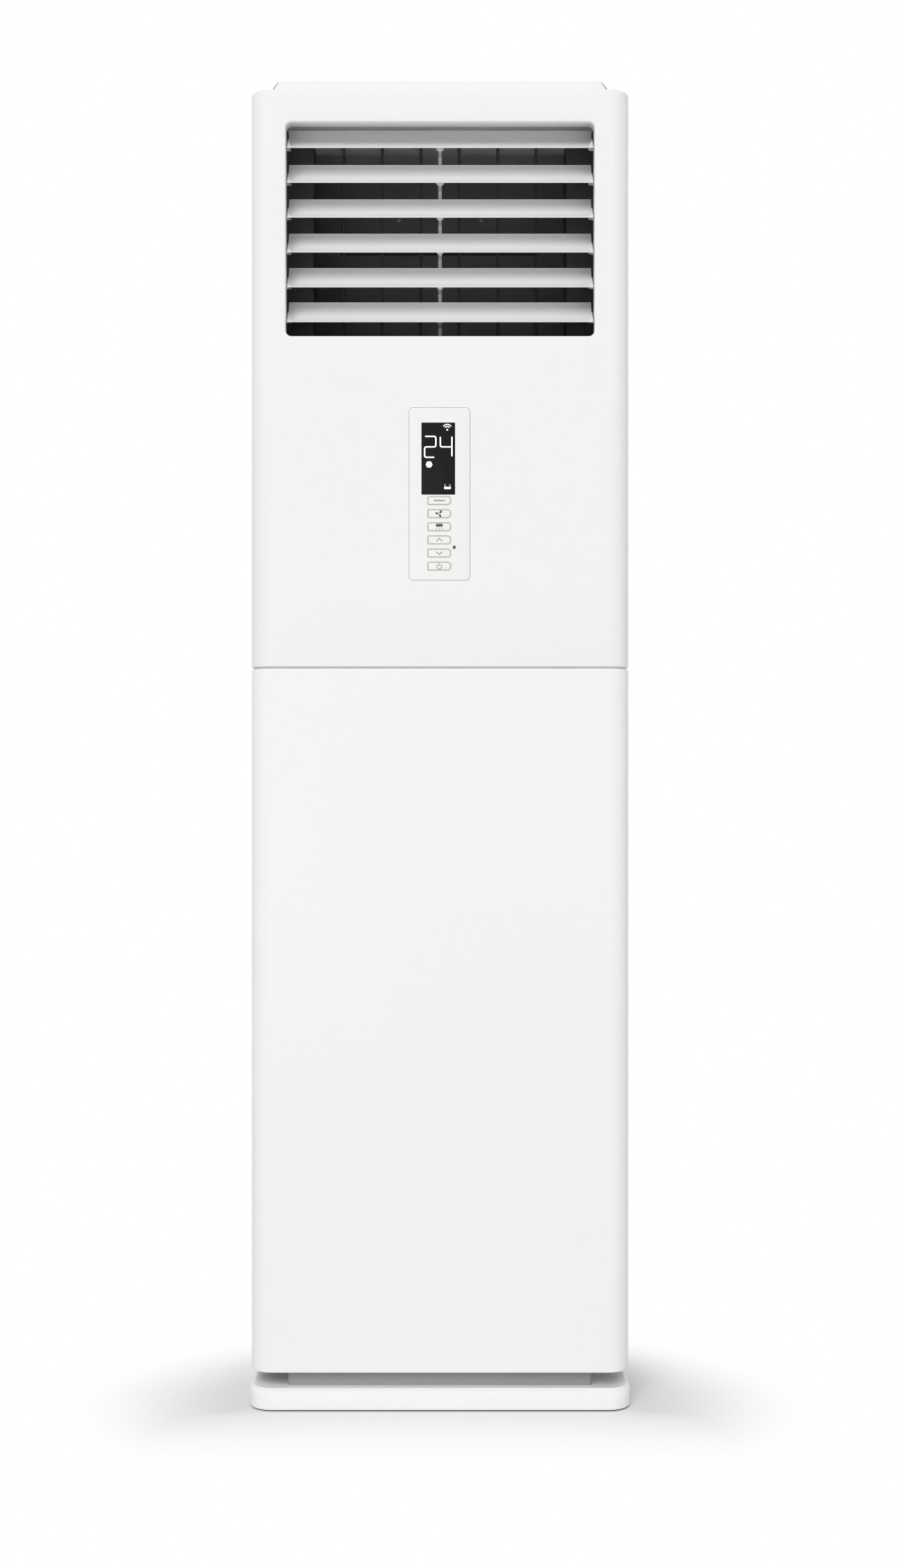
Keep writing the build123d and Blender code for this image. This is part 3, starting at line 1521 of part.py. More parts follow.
pieces = {
    "base_plinth": base_plinth,
    "base_pan": base_pan,
    "left_side_panel": left_side_panel,
    "right_side_panel": right_side_panel,
    "back_panel": back_panel,
    "top_cover": top_cover,
    "upper_front_panel": upper_front_panel,
    "lower_front_panel": lower_front_panel,
    "outlet_duct": outlet_duct,
    "centre_support": centre_support,
    "louver_link": louver_link,
    "louver_motor": louver_motor,
    "vane_link": vane_link,
    "vane_motor": vane_motor,
    "control_bezel": control_bezel,
    "display_window": display_window,
    "signal_lens": signal_lens,
    "control_board": control_board,
    "partition_plate": partition_plate,
    "fan_housing_front": fan_housing_front,
    "fan_housing_rear": fan_housing_rear,
    "blower_wheel": blower_wheel,
    "motor_shaft": motor_shaft,
    "wheel_nut": wheel_nut,
    "fan_motor": fan_motor,
    "evaporator_fins": evaporator_fins,
    "evaporator_tubes": evaporator_tubes,
    "left_coil_bracket": left_coil_bracket,
    "right_coil_bracket": right_coil_bracket,
    "drain_pan": drain_pan,
    "drain_hose": drain_hose,
    "gas_pipe": gas_pipe,
    "liquid_pipe": liquid_pipe,
    "cap_nuts": cap_nuts,
    "electrical_box": electrical_box,
    "electrical_box_cover": electrical_box_cover,
    "terminal_block": terminal_block,
    "left_intake_grille": left_intake_grille,
    "right_intake_grille": right_intake_grille,
    "left_air_filter": left_air_filter,
    "right_air_filter": right_air_filter,
    "cable_gland": cable_gland,
}
for number, piece in enumerate(louvers, start=1):
    pieces[f"louver_{number}"] = piece
for number, piece in enumerate(vanes, start=1):
    pieces[f"vane_{number}"] = piece
for title, piece in zip(button_names, buttons):
    pieces[f"{title}_button"] = piece

for name, piece in pieces.items():
    write(piece, name)
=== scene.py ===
import json
import math
import bpy
import bmesh
from mathutils import Matrix, Vector

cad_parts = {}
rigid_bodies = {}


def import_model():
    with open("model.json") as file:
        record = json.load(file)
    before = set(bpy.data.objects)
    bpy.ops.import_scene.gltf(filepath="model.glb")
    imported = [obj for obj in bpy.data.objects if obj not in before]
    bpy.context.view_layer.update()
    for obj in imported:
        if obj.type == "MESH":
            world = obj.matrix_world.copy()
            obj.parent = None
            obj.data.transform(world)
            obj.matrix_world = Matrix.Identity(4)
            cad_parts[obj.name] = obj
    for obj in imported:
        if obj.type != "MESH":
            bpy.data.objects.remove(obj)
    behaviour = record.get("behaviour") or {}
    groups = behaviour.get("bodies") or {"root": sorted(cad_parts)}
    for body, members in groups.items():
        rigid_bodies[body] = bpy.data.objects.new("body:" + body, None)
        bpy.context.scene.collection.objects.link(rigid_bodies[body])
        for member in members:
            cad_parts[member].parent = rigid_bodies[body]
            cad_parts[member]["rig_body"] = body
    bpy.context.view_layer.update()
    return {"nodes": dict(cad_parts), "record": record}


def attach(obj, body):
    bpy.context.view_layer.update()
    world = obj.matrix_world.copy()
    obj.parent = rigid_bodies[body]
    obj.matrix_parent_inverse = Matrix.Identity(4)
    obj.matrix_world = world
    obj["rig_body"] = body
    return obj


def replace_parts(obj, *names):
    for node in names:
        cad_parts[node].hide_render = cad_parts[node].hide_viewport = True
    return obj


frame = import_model()
mm = 0.001
print("frame loaded,", len(frame["nodes"]), "nodes")

# short ways to add shader nodes


def feed(tree, node, sockets):
    # each socket takes a value, a colour or another node's output
    for name, value in sockets.items():
        socket = node.inputs[name]
        if isinstance(value, bpy.types.NodeSocket):
            tree.links.new(value, socket)
        else:
            socket.default_value = (*value, 1.0) if socket.type == "RGBA" else value


def addNode(tree, kind, sockets=None, **settings):
    node = tree.nodes.new("ShaderNode" + kind)
    for name, value in settings.items():
        setattr(node, name, value)
    feed(tree, node, sockets or {})
    return node


def objectPlace(tree):
    return addNode(tree, "TexCoord").outputs["Object"]


def mathNode(tree, operation, first, second):
    return addNode(tree, "Math", {0: first, 1: second}, operation=operation).outputs[0]


def plus(tree, first, second):
    return mathNode(tree, "ADD", first, second)


def times(tree, first, second):
    return mathNode(tree, "MULTIPLY", first, second)


def swing(tree, value, middle, amount):
    # how far a value is from its middle, times an amount
    return times(tree, mathNode(tree, "SUBTRACT", value, middle), amount)


def rangeNode(tree, value, low, high, start=0.0, end=1.0, kind="LINEAR"):
    # values from start to end become low to high
    sockets = {"Value": value, "From Min": start, "From Max": end, "To Min": low, "To Max": high}
    return addNode(tree, "MapRange", sockets, interpolation_type=kind).outputs["Result"]


def noiseNode(tree, vector, scale, detail=2.0, roughness=0.5):
    sockets = {"Vector": vector, "Scale": scale, "Detail": detail, "Roughness": roughness}
    return addNode(tree, "TexNoise", sockets).outputs["Fac"]


def scaledTone(tree, tone, factor):
    return addNode(tree, "VectorMath", {0: tone, "Scale": factor}, operation="SCALE").outputs["Vector"]


def seenRays(tree):
    # 1 for what the camera sees, straight or through gloss and glass
    ray = addNode(tree, "LightPath").outputs
    straight = mathNode(tree, "MAXIMUM", ray["Is Camera Ray"], ray["Is Glossy Ray"])
    return mathNode(tree, "MAXIMUM", straight, ray["Is Transmission Ray"])


# camera, floor and lights; the camera's place is in mm, the rest in metres
stageLook = {
    "cameraHeight": 824.5, "cameraDistance": 2700.0, "lens": 44.55, "sensor": 36.0,
    "shiftRight": 0.00604, "clipStart": 0.05, "clipEnd": 200.0,
    "floorSize": 60.0, "floorDrop": 0.0004, "floorShade": (0.84, 0.84, 0.84),
    "fadeStart": 0.14, "fadeEnd": 0.38, "fadeStretch": 0.72, "fadeCentre": -0.11,
    "frontFadeStart": -0.138, "frontFadeEnd": -0.338,
    "frontFadeSteps": ((0.0, 0.0), (0.16, 0.40), (0.35, 0.58), (0.6, 0.8), (1.0, 1.0)),
    "roomLight": 0.425, "lampAim": (0.0, 0.0, 0.95),
    "keyTurn": -12.0, "keyRise": 38.0, "keyReach": 80.0, "keySize": 42.0, "keyPower": 37000.0,
    "fillPlace": (5.0, -2.4, 0.6), "fillSize": 3.0, "fillPower": 14.0,
    "lowPlace": (-1.2, -5.0, 0.5), "lowAim": (0.0, 0.0, 0.0), "lowSize": 1.6, "lowPower": 9.0,
}


def addObject(name, data):
    made = bpy.data.objects.new(name, data)
    bpy.context.scene.collection.objects.link(made)
    return made


def toMesh(name, bm):
    mesh = bpy.data.meshes.new(name)
    bm.to_mesh(mesh)
    bm.free()
    return mesh


def makeCamera(look):
    lens = bpy.data.cameras.new("photoCamera")
    lens.lens, lens.sensor_width, lens.shift_x = look["lens"], look["sensor"], look["shiftRight"]
    lens.clip_start, lens.clip_end = look["clipStart"], look["clipEnd"]
    camera = addObject("photoCamera", lens)
    camera.location = (0.0, -look["cameraDistance"] * mm, look["cameraHeight"] * mm)
    camera.rotation_euler = (math.radians(90), 0.0, 0.0)
    bpy.context.scene.camera = camera


def areaLamp(name, place, aim, size, power, gloss=True):
    lamp = bpy.data.lights.new(name, "AREA")
    lamp.shape, lamp.size, lamp.size_y, lamp.energy = "RECTANGLE", size, size, power
    holder = addObject(name, lamp)
    holder.location = place
    holder.rotation_euler = (Vector(aim) - Vector(place)).to_track_quat("-Z", "Y").to_euler()
    holder.visible_camera = False
    holder.visible_glossy = gloss


def makeLamps(look):
    turn, rise, aim = math.radians(look["keyTurn"]), math.radians(look["keyRise"]), Vector(look["lampAim"])
    way = Vector((math.sin(turn) * math.cos(rise), -math.cos(turn) * math.cos(rise), math.sin(rise)))
    areaLamp("keyLight", aim + way * look["keyReach"], aim, look["keySize"], look["keyPower"], gloss=False)
    areaLamp("fillLight", look["fillPlace"], aim, look["fillSize"], look["fillPower"])
    areaLamp("lowLight", look["lowPlace"], look["lowAim"], look["lowSize"], look["lowPower"])


def makeFloor(look):
    bm = bmesh.new()
    bmesh.ops.create_grid(bm, x_segments=2, y_segments=2, size=look["floorSize"] / 2)
    floor = addObject("studioFloor", toMesh("studioFloor", bm))
    floor.location = (0.0, 0.0, -look["floorDrop"])
    paint = bpy.data.materials.new("studioFloor")
    paint.use_nodes = True
    tree = paint.node_tree
    tree.nodes.clear()
    # the shading ends in an oval around the object, and sooner in front of it
    place = objectPlace(tree)
    oval = addNode(tree, "Mapping", {"Vector": place, "Scale": (look["fadeStretch"], 1.0, 1.0),
                                     "Location": (0.0, -look["fadeCentre"], 0.0)})
    reach = addNode(tree, "VectorMath", {0: oval.outputs["Vector"]}, operation="LENGTH")
    around = rangeNode(tree, reach.outputs["Value"], 0.0, 1.0, look["fadeStart"], look["fadeEnd"],
                       "SMOOTHERSTEP")
    split = addNode(tree, "SeparateXYZ", {0: place})
    ahead = rangeNode(tree, split.outputs["Y"], 0.0, 1.0, look["frontFadeStart"], look["frontFadeEnd"])
    steps = addNode(tree, "ValToRGB", {"Fac": ahead})
    stops = steps.color_ramp.elements
    for index, (position, value) in enumerate(look["frontFadeSteps"]):
        stop = stops[index] if index < 2 else stops.new(position)
        stop.position, stop.color = position, (value, value, value, 1.0)
    fade = mathNode(tree, "MAXIMUM", around, steps.outputs["Color"])
    lit = addNode(tree, "BsdfDiffuse", {"Color": look["floorShade"]}).outputs[0]
    white = addNode(tree, "Emission").outputs[0]
    shown = addNode(tree, "MixShader", {0: fade, 1: lit, 2: white}).outputs[0]
    pick = addNode(tree, "MixShader", {0: seenRays(tree), 1: lit, 2: shown})
    addNode(tree, "OutputMaterial", {"Surface": pick.outputs[0]})
    floor.data.materials.append(paint)


def makeRoom(look):
    world = bpy.data.worlds.new("studio")
    bpy.context.scene.world = world
    world.use_nodes = True
    tree = world.node_tree
    tree.nodes.clear()
    white = (1.0, 1.0, 1.0)
    room = addNode(tree, "Background", {"Color": white, "Strength": look["roomLight"]})
    shown = addNode(tree, "Background", {"Color": white, "Strength": 1.0})
    pick = addNode(tree, "MixShader", {0: seenRays(tree), 1: room.outputs[0], 2: shown.outputs[0]})
    addNode(tree, "OutputWorld", {"Surface": pick.outputs[0]})


makeCamera(stageLook)
makeFloor(stageLook)
makeRoom(stageLook)
makeLamps(stageLook)
bpy.context.scene.view_settings.view_transform = "Standard"
print("camera and stage ready")

# effects that several finishes share
grainLook = {
    "fineDetail": 3.0, "fineRoughness": 0.6, "pitShare": 0.35, "driftScale": 2.3, "fineShare": 0.3,
    "driftMiddle": 0.65, "cloudScale": 9.0, "cloudDetail": 3.0, "roughSwing": 0.12,
}
rolledLook = {
    "stretch": (30.0, 30.0, 700.0), "streakDetail": 3.0, "flakeScale": 140.0, "stainScale": 6.0,
    "stainDetail": 4.0, "stainSwing": 0.2, "streakRough": 0.35, "stainRough": 0.5,
}
weaveLook = {"gapEdge": 0.55, "threadEdge": 0.75}


def newGroup(name, inputs, outputs):
    group = bpy.data.node_groups.new(name, "ShaderNodeTree")
    for way, sockets in (("INPUT", inputs), ("OUTPUT", outputs)):
        for label in sockets:
            kind = "NodeSocketColor" if label in ("Tone", "Color") else "NodeSocketFloat"
            group.interface.new_socket(name=label, in_out=way, socket_type=kind)
    return group, group.nodes.new("NodeGroupInput").outputs, group.nodes.new("NodeGroupOutput")


def makeGrainGroup(look):
    group, given, put = newGroup(
        "mouldedGrain", ("Grain Size", "Tone", "Rough", "Drift"), ("Height", "Color", "Roughness"))
    place = objectPlace(group)
    fine = noiseNode(group, place, given["Grain Size"], look["fineDetail"], look["fineRoughness"])
    pits = addNode(group, "TexVoronoi", {"Vector": place, "Scale": given["Grain Size"]})
    pitDepth = times(group, pits.outputs["Distance"], look["pitShare"])
    flow = noiseNode(group, place, look["driftScale"])
    cloud = noiseNode(group, place, look["cloudScale"], look["cloudDetail"])
    mixed = plus(group, flow, times(group, fine, look["fineShare"]))
    drift = swing(group, mixed, look["driftMiddle"], given["Drift"])
    feed(group, put, {
        "Height": plus(group, fine, pitDepth),
        "Color": scaledTone(group, given["Tone"], plus(group, drift, 1.0)),
        "Roughness": plus(group, given["Rough"], swing(group, cloud, 0.5, look["roughSwing"]))})
    return group


def makeMetalGroup(look):
    group, given, put = newGroup(
        "rolledMetal", ("Tone", "Rough", "Streaks", "Spangle"), ("Height", "Color", "Roughness"))
    place = objectPlace(group)
    stretched = addNode(group, "Mapping", {"Vector": place, "Scale": look["stretch"]})
    streak = noiseNode(group, stretched.outputs["Vector"], 1.0, look["streakDetail"])
    flakes = addNode(group, "TexVoronoi", {"Scale": look["flakeScale"], "Vector": place})
    grey = addNode(group, "SeparateColor", {"Color": flakes.outputs["Color"]})
    spots = swing(group, grey.outputs["Red"], 0.5, given["Spangle"])
    lines = swing(group, streak, 0.5, given["Streaks"])
    stain = swing(group, noiseNode(group, place, look["stainScale"], look["stainDetail"]), 0.5,
                  look["stainSwing"])
    change = plus(group, plus(group, spots, lines), plus(group, stain, 1.0))
    worn = plus(group, times(group, lines, look["streakRough"]), times(group, stain, look["stainRough"]))
    feed(group, put, {
        "Height": streak, "Color": scaledTone(group, given["Tone"], change),
        "Roughness": plus(group, given["Rough"], worn)})
    return group


def makeWeaveGroup(look):
    group, given, put = newGroup("filterWeave", ("Threads",), ("Height", "Cover"))
    place = objectPlace(group)
    bands = [addNode(group, "TexWave", {"Distortion": 0.0, "Vector": place, "Scale": given["Threads"]},
                     wave_type="BANDS", bands_direction=axis).outputs["Fac"] for axis in ("Y", "Z")]
    top = mathNode(group, "MAXIMUM", *bands)
    feed(group, put, {"Height": top,
                      "Cover": rangeNode(group, top, 0.0, 1.0, look["gapEdge"], look["threadEdge"])})
    return group


grainGroup = makeGrainGroup(grainLook)
metalGroup = makeMetalGroup(rolledLook)
weaveGroup = makeWeaveGroup(weaveLook)

# finishes: tone, roughness, size of the grain, depth of the relief and clear coat
plastics = {
    "plastic_white": ((0.885, 0.885, 0.885), 0.36, 1500.0, 0.05, 0.10),
    "paint_white": ((0.865, 0.865, 0.863), 0.38, 900.0, 0.08, 0.08),
    # sheet_grey is partly the sheet's own grey and partly painted shade: its tone is darkened for the
    # recessed neck under the body
    "sheet_grey": ((0.33, 0.33, 0.335), 0.42, 700.0, 0.08, 0.0),
    "plastic_dark": ((0.058, 0.058, 0.059), 0.52, 1100.0, 0.10, 0.0),
    "plastic_light_grey": ((0.72, 0.72, 0.72), 0.40, 1200.0, 0.06, 0.0),
    "plastic_bezel": ((0.880, 0.882, 0.868), 0.28, 2200.0, 0.03, 0.2),
    "hose_grey": ((0.42, 0.42, 0.41), 0.60, 800.0, 0.12, 0.0),
    "paint_black": ((0.030, 0.030, 0.032), 0.45, 900.0, 0.10, 0.0),
    "printGrey": ((0.36, 0.34, 0.30), 0.5, 2600.0, 0.02, 0.0),
    "faintGrey": ((0.50, 0.485, 0.44), 0.5, 2600.0, 0.02, 0.0),
    "printDark": ((0.11, 0.10, 0.075), 0.5, 2600.0, 0.02, 0.0),
    # the dark tone of the strip under the plinth is painted shade for the line where the plinth meets the
    # floor
    "paintedShadeDark": ((0.045, 0.045, 0.046), 0.7, 600.0, 0.2, 0.0),
    # the dark grey for the cap's sloped ends is painted shade
    "paintedShadeGrey": ((0.14, 0.14, 0.14), 0.6, 600.0, 0.1, 0.0),
    # the dark lining on the back panel's inner side is painted shade for the inside of the cabinet
    "paintedShadeLining": ((0.27, 0.27, 0.272), 0.9, 260.0, 0.6, 0.0),
    # the whitest tone is a painted highlight for the strip above the display
    "paintedHighlightWhite": ((0.93, 0.95, 0.96), 0.3, 2600.0, 0.02, 0.0),
}
# finishes: tone, roughness, streaks, spangle and depth of the relief
metals = {
    "sheet_zinc": ((0.56, 0.57, 0.58), 0.38, 0.10, 0.22, 0.10),
    # the fins' dark tone is painted shade for the coil deep inside the cabinet, far darker than bare
    # aluminium
    "aluminium_fin": ((0.20, 0.21, 0.22), 0.45, 0.35, 0.0, 0.25),
    "copper": ((0.72, 0.34, 0.18), 0.30, 0.15, 0.10, 0.08),
    "brass": ((0.70, 0.52, 0.24), 0.28, 0.20, 0.0, 0.06),
    "steel": ((0.55, 0.55, 0.56), 0.30, 0.30, 0.0, 0.08),
}
boardLook = {
    "trackScale": 90.0, "trackWidth": 0.03, "relief": 0.2, "dustScale": 60.0,
    "mask": (0.02, 0.16, 0.06), "maskDark": (0.015, 0.12, 0.05), "track": (0.10, 0.30, 0.12),
}
glassLook = {
    "tone": (0.0115, 0.011, 0.0120), "dustScale": 900.0, "dustLight": 1.25, "dustDark": 0.75,
    "smearScale": 40.0, "smearDetail": 3.0, "smooth": 0.12, "smear": 0.28, "shine": 0.1,
}
filterLook = {
    "threads": 260.0, "tone": (0.20, 0.21, 0.22), "threadTone": 1.1, "gapTone": 0.45, "relief": 0.5,
    "dustScale": 30.0, "smooth": 0.5, "rough": 0.8,
}
digitLooks = {
    "digitLight": {"tone": (0.95, 0.94, 0.97), "glow": 0.75},
    "digitDim": {"tone": (0.62, 0.60, 0.64), "glow": 0.30},
}
digitDots = {"scale": 500.0, "light": 1.05, "dark": 0.9, "rough": 0.4}


def startMaterial(name):
    material = bpy.data.materials.new(name)
    material.use_nodes = True
    tree = material.node_tree
    return material, tree, tree.nodes["Principled BSDF"]


def addBump(tree, shader, height, strength):
    bump = addNode(tree, "Bump", {"Strength": strength, "Distance": 0.4 * mm, "Height": height})
    feed(tree, shader, {"Normal": bump.outputs["Normal"]})


def tonePair(tree, tone, factor, light, dark):
    # the tone made lighter or darker where the factor says
    return scaledTone(tree, tone, rangeNode(tree, factor, dark, light))


def surfaceFinish(name, group, sockets, relief):
    material, tree, shader = startMaterial(name)
    made = addNode(tree, "Group", sockets, node_tree=group)
    feed(tree, shader, {"Base Color": made.outputs["Color"], "Roughness": made.outputs["Roughness"]})
    addBump(tree, shader, made.outputs["Height"], relief)
    return material, shader


def plasticFinish(name, tone, rough, grain, relief, coat):
    material, shader = surfaceFinish(
        name, grainGroup, {"Grain Size": grain, "Tone": tone, "Rough": rough, "Drift": 0.02}, relief)
    shader.inputs["Coat Weight"].default_value = coat
    shader.inputs["Coat Roughness"].default_value = 0.2
    return material


def metalFinish(name, tone, rough, streaks, spangle, relief):
    material, shader = surfaceFinish(
        name, metalGroup, {"Tone": tone, "Rough": rough, "Streaks": streaks, "Spangle": spangle}, relief)
    shader.inputs["Metallic"].default_value = 1.0
    return material


def boardFinish(look):
    material, tree, shader = startMaterial("board_green")
    place = objectPlace(tree)
    turn = addNode(tree, "Mapping", {"Rotation": (math.radians(90), 0.0, 0.0), "Vector": place})
    tracks = addNode(tree, "TexBrick", {
        "Vector": turn.outputs["Vector"], "Scale": look["trackScale"], "Mortar Size": look["trackWidth"],
        "Color1": look["mask"], "Color2": look["maskDark"], "Mortar": look["track"]})
    feed(tree, shader, {"Base Color": tracks.outputs["Color"],
                        "Roughness": noiseNode(tree, place, look["dustScale"])})
    addBump(tree, shader, tracks.outputs["Fac"], look["relief"])
    return material


def glassFinish(look):
    material, tree, shader = startMaterial("glass_black")
    place = objectPlace(tree)
    smear = noiseNode(tree, place, look["smearScale"], look["smearDetail"])
    dust = noiseNode(tree, place, look["dustScale"])
    feed(tree, shader, {
        "Base Color": tonePair(tree, look["tone"], dust, look["dustLight"], look["dustDark"]),
        "Roughness": rangeNode(tree, smear, look["smooth"], look["smear"]),
        "Specular IOR Level": look["shine"]})
    return material


def litFinish(name, look, dots):
    material, tree, shader = startMaterial(name)
    uneven = noiseNode(tree, objectPlace(tree), dots["scale"])
    glow = tonePair(tree, look["tone"], uneven, dots["light"], dots["dark"])
    feed(tree, shader, {"Emission Color": glow, "Base Color": glow, "Emission Strength": look["glow"],
                        "Roughness": dots["rough"]})
    return material


def filterFinish(look):
    material, tree, shader = startMaterial("filter_grey")
    weave = addNode(tree, "Group", {"Threads": look["threads"]}, node_tree=weaveGroup)
    dust = noiseNode(tree, objectPlace(tree), look["dustScale"])
    feed(tree, shader, {
        "Base Color": tonePair(
            tree, look["tone"], weave.outputs["Cover"], look["threadTone"], look["gapTone"]),
        "Roughness": rangeNode(tree, dust, look["smooth"], look["rough"])})
    addBump(tree, shader, weave.outputs["Height"], look["relief"])
    return material


finishes = {name: plasticFinish(name, *look) for name, look in plastics.items()}
finishes.update({name: metalFinish(name, *look) for name, look in metals.items()})
finishes["board_green"] = boardFinish(boardLook)
finishes["glass_black"] = glassFinish(glassLook)
finishes["filter_grey"] = filterFinish(filterLook)
finishes.update({name: litFinish(name, look, digitDots) for name, look in digitLooks.items()})
for entry in frame["record"]["subparts"]:
    node = frame["nodes"][entry["node"]]
    node.data.materials.clear()
    node.data.materials.append(finishes[entry["material_slot"]])
print("finishes ready")

# shaping helpers, in mm
near = 0.01  # how close counts as touching


def at(x, y, z):
    return Vector((x * mm, y * mm, z * mm))


def block(bm, low, high):
    made = bmesh.ops.create_cube(bm, size=1.0)["verts"]
    bmesh.ops.scale(bm, vec=[(b - a) * mm for a, b in zip(low, high)], verts=made)
    bmesh.ops.translate(bm, vec=at(*[(a + b) / 2 for a, b in zip(low, high)]), verts=made)
    return made


def rod(bm, start, end, radius, sides, tip=None):
    span = end - start
    place = Matrix.Translation((start + end) / 2) @ span.to_track_quat("Z", "Y").to_matrix().to_4x4()
    return bmesh.ops.create_cone(
        bm, cap_ends=True, segments=sides, radius1=radius * mm,
        radius2=(radius if tip is None else tip) * mm, depth=span.length, matrix=place)["verts"]


def roundEdges(bm, edges, radius, segments=3, affect="EDGES"):
    bmesh.ops.bevel(bm, geom=edges, offset=radius * mm, offset_type="OFFSET", segments=segments,
                    affect=affect, profile=0.5, material=-1, clamp_overlap=affect == "EDGES")


def edgesWhere(bm, test):
    return [e for e in bm.edges if test(e.verts[0].co / mm, e.verts[1].co / mm)]


def facesWhere(bm, test):
    return [f for f in bm.faces if test(f.calc_center_median() / mm, f.normal)]


def dropFaces(bm, test, context="FACES"):
    bm.normal_update()
    bmesh.ops.delete(bm, geom=facesWhere(bm, test), context=context)


def isUpright(a, b):
    return abs(a.z - b.z) > 1


def cutAcross(bm, faces, point, direction):
    edges, verts = {e for f in faces for e in f.edges}, {v for f in faces for v in f.verts}
    bmesh.ops.bisect_plane(bm, geom=[*faces, *edges, *verts], dist=1e-7, plane_co=point, plane_no=direction)


def turnAround(bm, centre, degrees, verts):
    # in the plane of the front
    bmesh.ops.rotate(bm, cent=centre, matrix=Matrix.Rotation(math.radians(degrees), 3, "Y"), verts=verts)


def moveMade(bm, made, x, y, z):
    # moves the vertices among what an operator made
    bmesh.ops.translate(bm, vec=at(x, y, z), verts=[v for v in made if isinstance(v, bmesh.types.BMVert)])


def addHull(bm, points, others=()):
    made = [bm.verts.new(at(*point)) for point in points]
    bmesh.ops.convex_hull(bm, input=[*others, *made])


def addShape(bm, other):
    # the other shape joins this one
    mesh = toMesh("joined", other)
    bm.from_mesh(mesh)
    bpy.data.meshes.remove(mesh)


def smoothFaces(mesh, sharp=35.0):
    mesh.shade_smooth()
    mesh.set_sharp_from_angle(angle=math.radians(sharp))


def finishPiece(name, bm, body, finish, slot, sharp=35.0, merge=True, turn=True):
    if merge:
        bmesh.ops.remove_doubles(bm, verts=bm.verts, dist=1e-6)
    if turn:
        bmesh.ops.recalc_face_normals(bm, faces=bm.faces)
    mesh = toMesh(name, bm)
    smoothFaces(mesh, sharp)
    mesh.materials.append(finishes[finish])
    piece = addObject(name, mesh)
    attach(piece, body)
    return piece


def whitePiece(name, bm, body="cabinet"):
    return finishPiece(name, bm, body, "plastic_white", "plastic_white")


def giveWall(piece, thickness, offset=-1.0):
    wall = piece.modifiers.new("wall", "SOLIDIFY")
    wall.thickness, wall.offset, wall.use_even_offset = thickness * mm, offset, True


def giveSoftEdge(piece, width, angle, harden=False):
    bevel = piece.modifiers.new("softEdge", "BEVEL")
    bevel.width, bevel.segments, bevel.limit_method = width * mm, 2, "ANGLE"
    bevel.angle_limit, bevel.harden_normals = math.radians(angle), harden


def bakeShape(piece):
    # modifiers become the piece's own mesh
    graph = bpy.context.evaluated_depsgraph_get()
    mesh = bpy.data.meshes.new_from_object(piece.evaluated_get(graph))
    piece.modifiers.clear()
    old = piece.data
    piece.data = mesh
    bpy.data.meshes.remove(old)
    smoothFaces(mesh)


def secondFinish(piece, finish, test):
    # faces that the test picks wear another finish
    piece.data.materials.append(finishes[finish])
    for face in piece.data.polygons:
        if test(face.center / mm, face.normal):
            face.material_index = 1


# front panels
shellLook = {
    "half": 250.0, "front": -150.0, "rear": -88.0, "corner": 28.0, "cornerSteps": 16,
    "edge": 2.2, "edgeSteps": 4, "wall": 2.4,
    "lowerBottom": 50.2, "lowerTop": 976.2, "upperBottom": 978.2, "upperTop": 1738.0,
    "coverSeat": 1732.0, "coverLip": -120.0,
    "stripGap": 0.4, "stripRise": 14.0, "stripWall": 1.0, "stripSteps": 12,
}
outletLook = {
    "left": -203.0, "right": 203.0, "bottom": 1413.5, "top": 1694.8, "corner": 7.5, "depth": 20.0, "lip": 4.0,
}
panelWindow = {
    "left": -41.0, "right": 39.6, "bottom": 1092.0, "top": 1319.4, "corner": 5.5, "depth": 2.5, "lip": 0.0,
}


def onRim(a, b, level, openY, way=1):
    # an edge at the level, except along the open side, which looks to +Y, or to -Y for a way of -1
    isOpen = all(way * (v.y - openY) > -near for v in (a, b))
    return all(abs(v.z - level) < near for v in (a, b)) and not isOpen


def startShell(bm, look, bottom, top):
    front, rear = look["front"], look["rear"]
    block(bm, (-look["half"], front, bottom), (look["half"], rear, top))
    corners = edgesWhere(bm, lambda a, b: isUpright(a, b) and a.y < front + 1 and b.y < front + 1)
    roundEdges(bm, corners, look["corner"], look["cornerSteps"])
    rims = edgesWhere(bm, lambda a, b: onRim(a, b, bottom, rear) or onRim(a, b, top, rear))
    roundEdges(bm, rims, look["edge"], look["edgeSteps"])
    dropFaces(bm, lambda c, n: n.y > 0.9 or (n.z < -0.99 and c.z < bottom + 0.1))


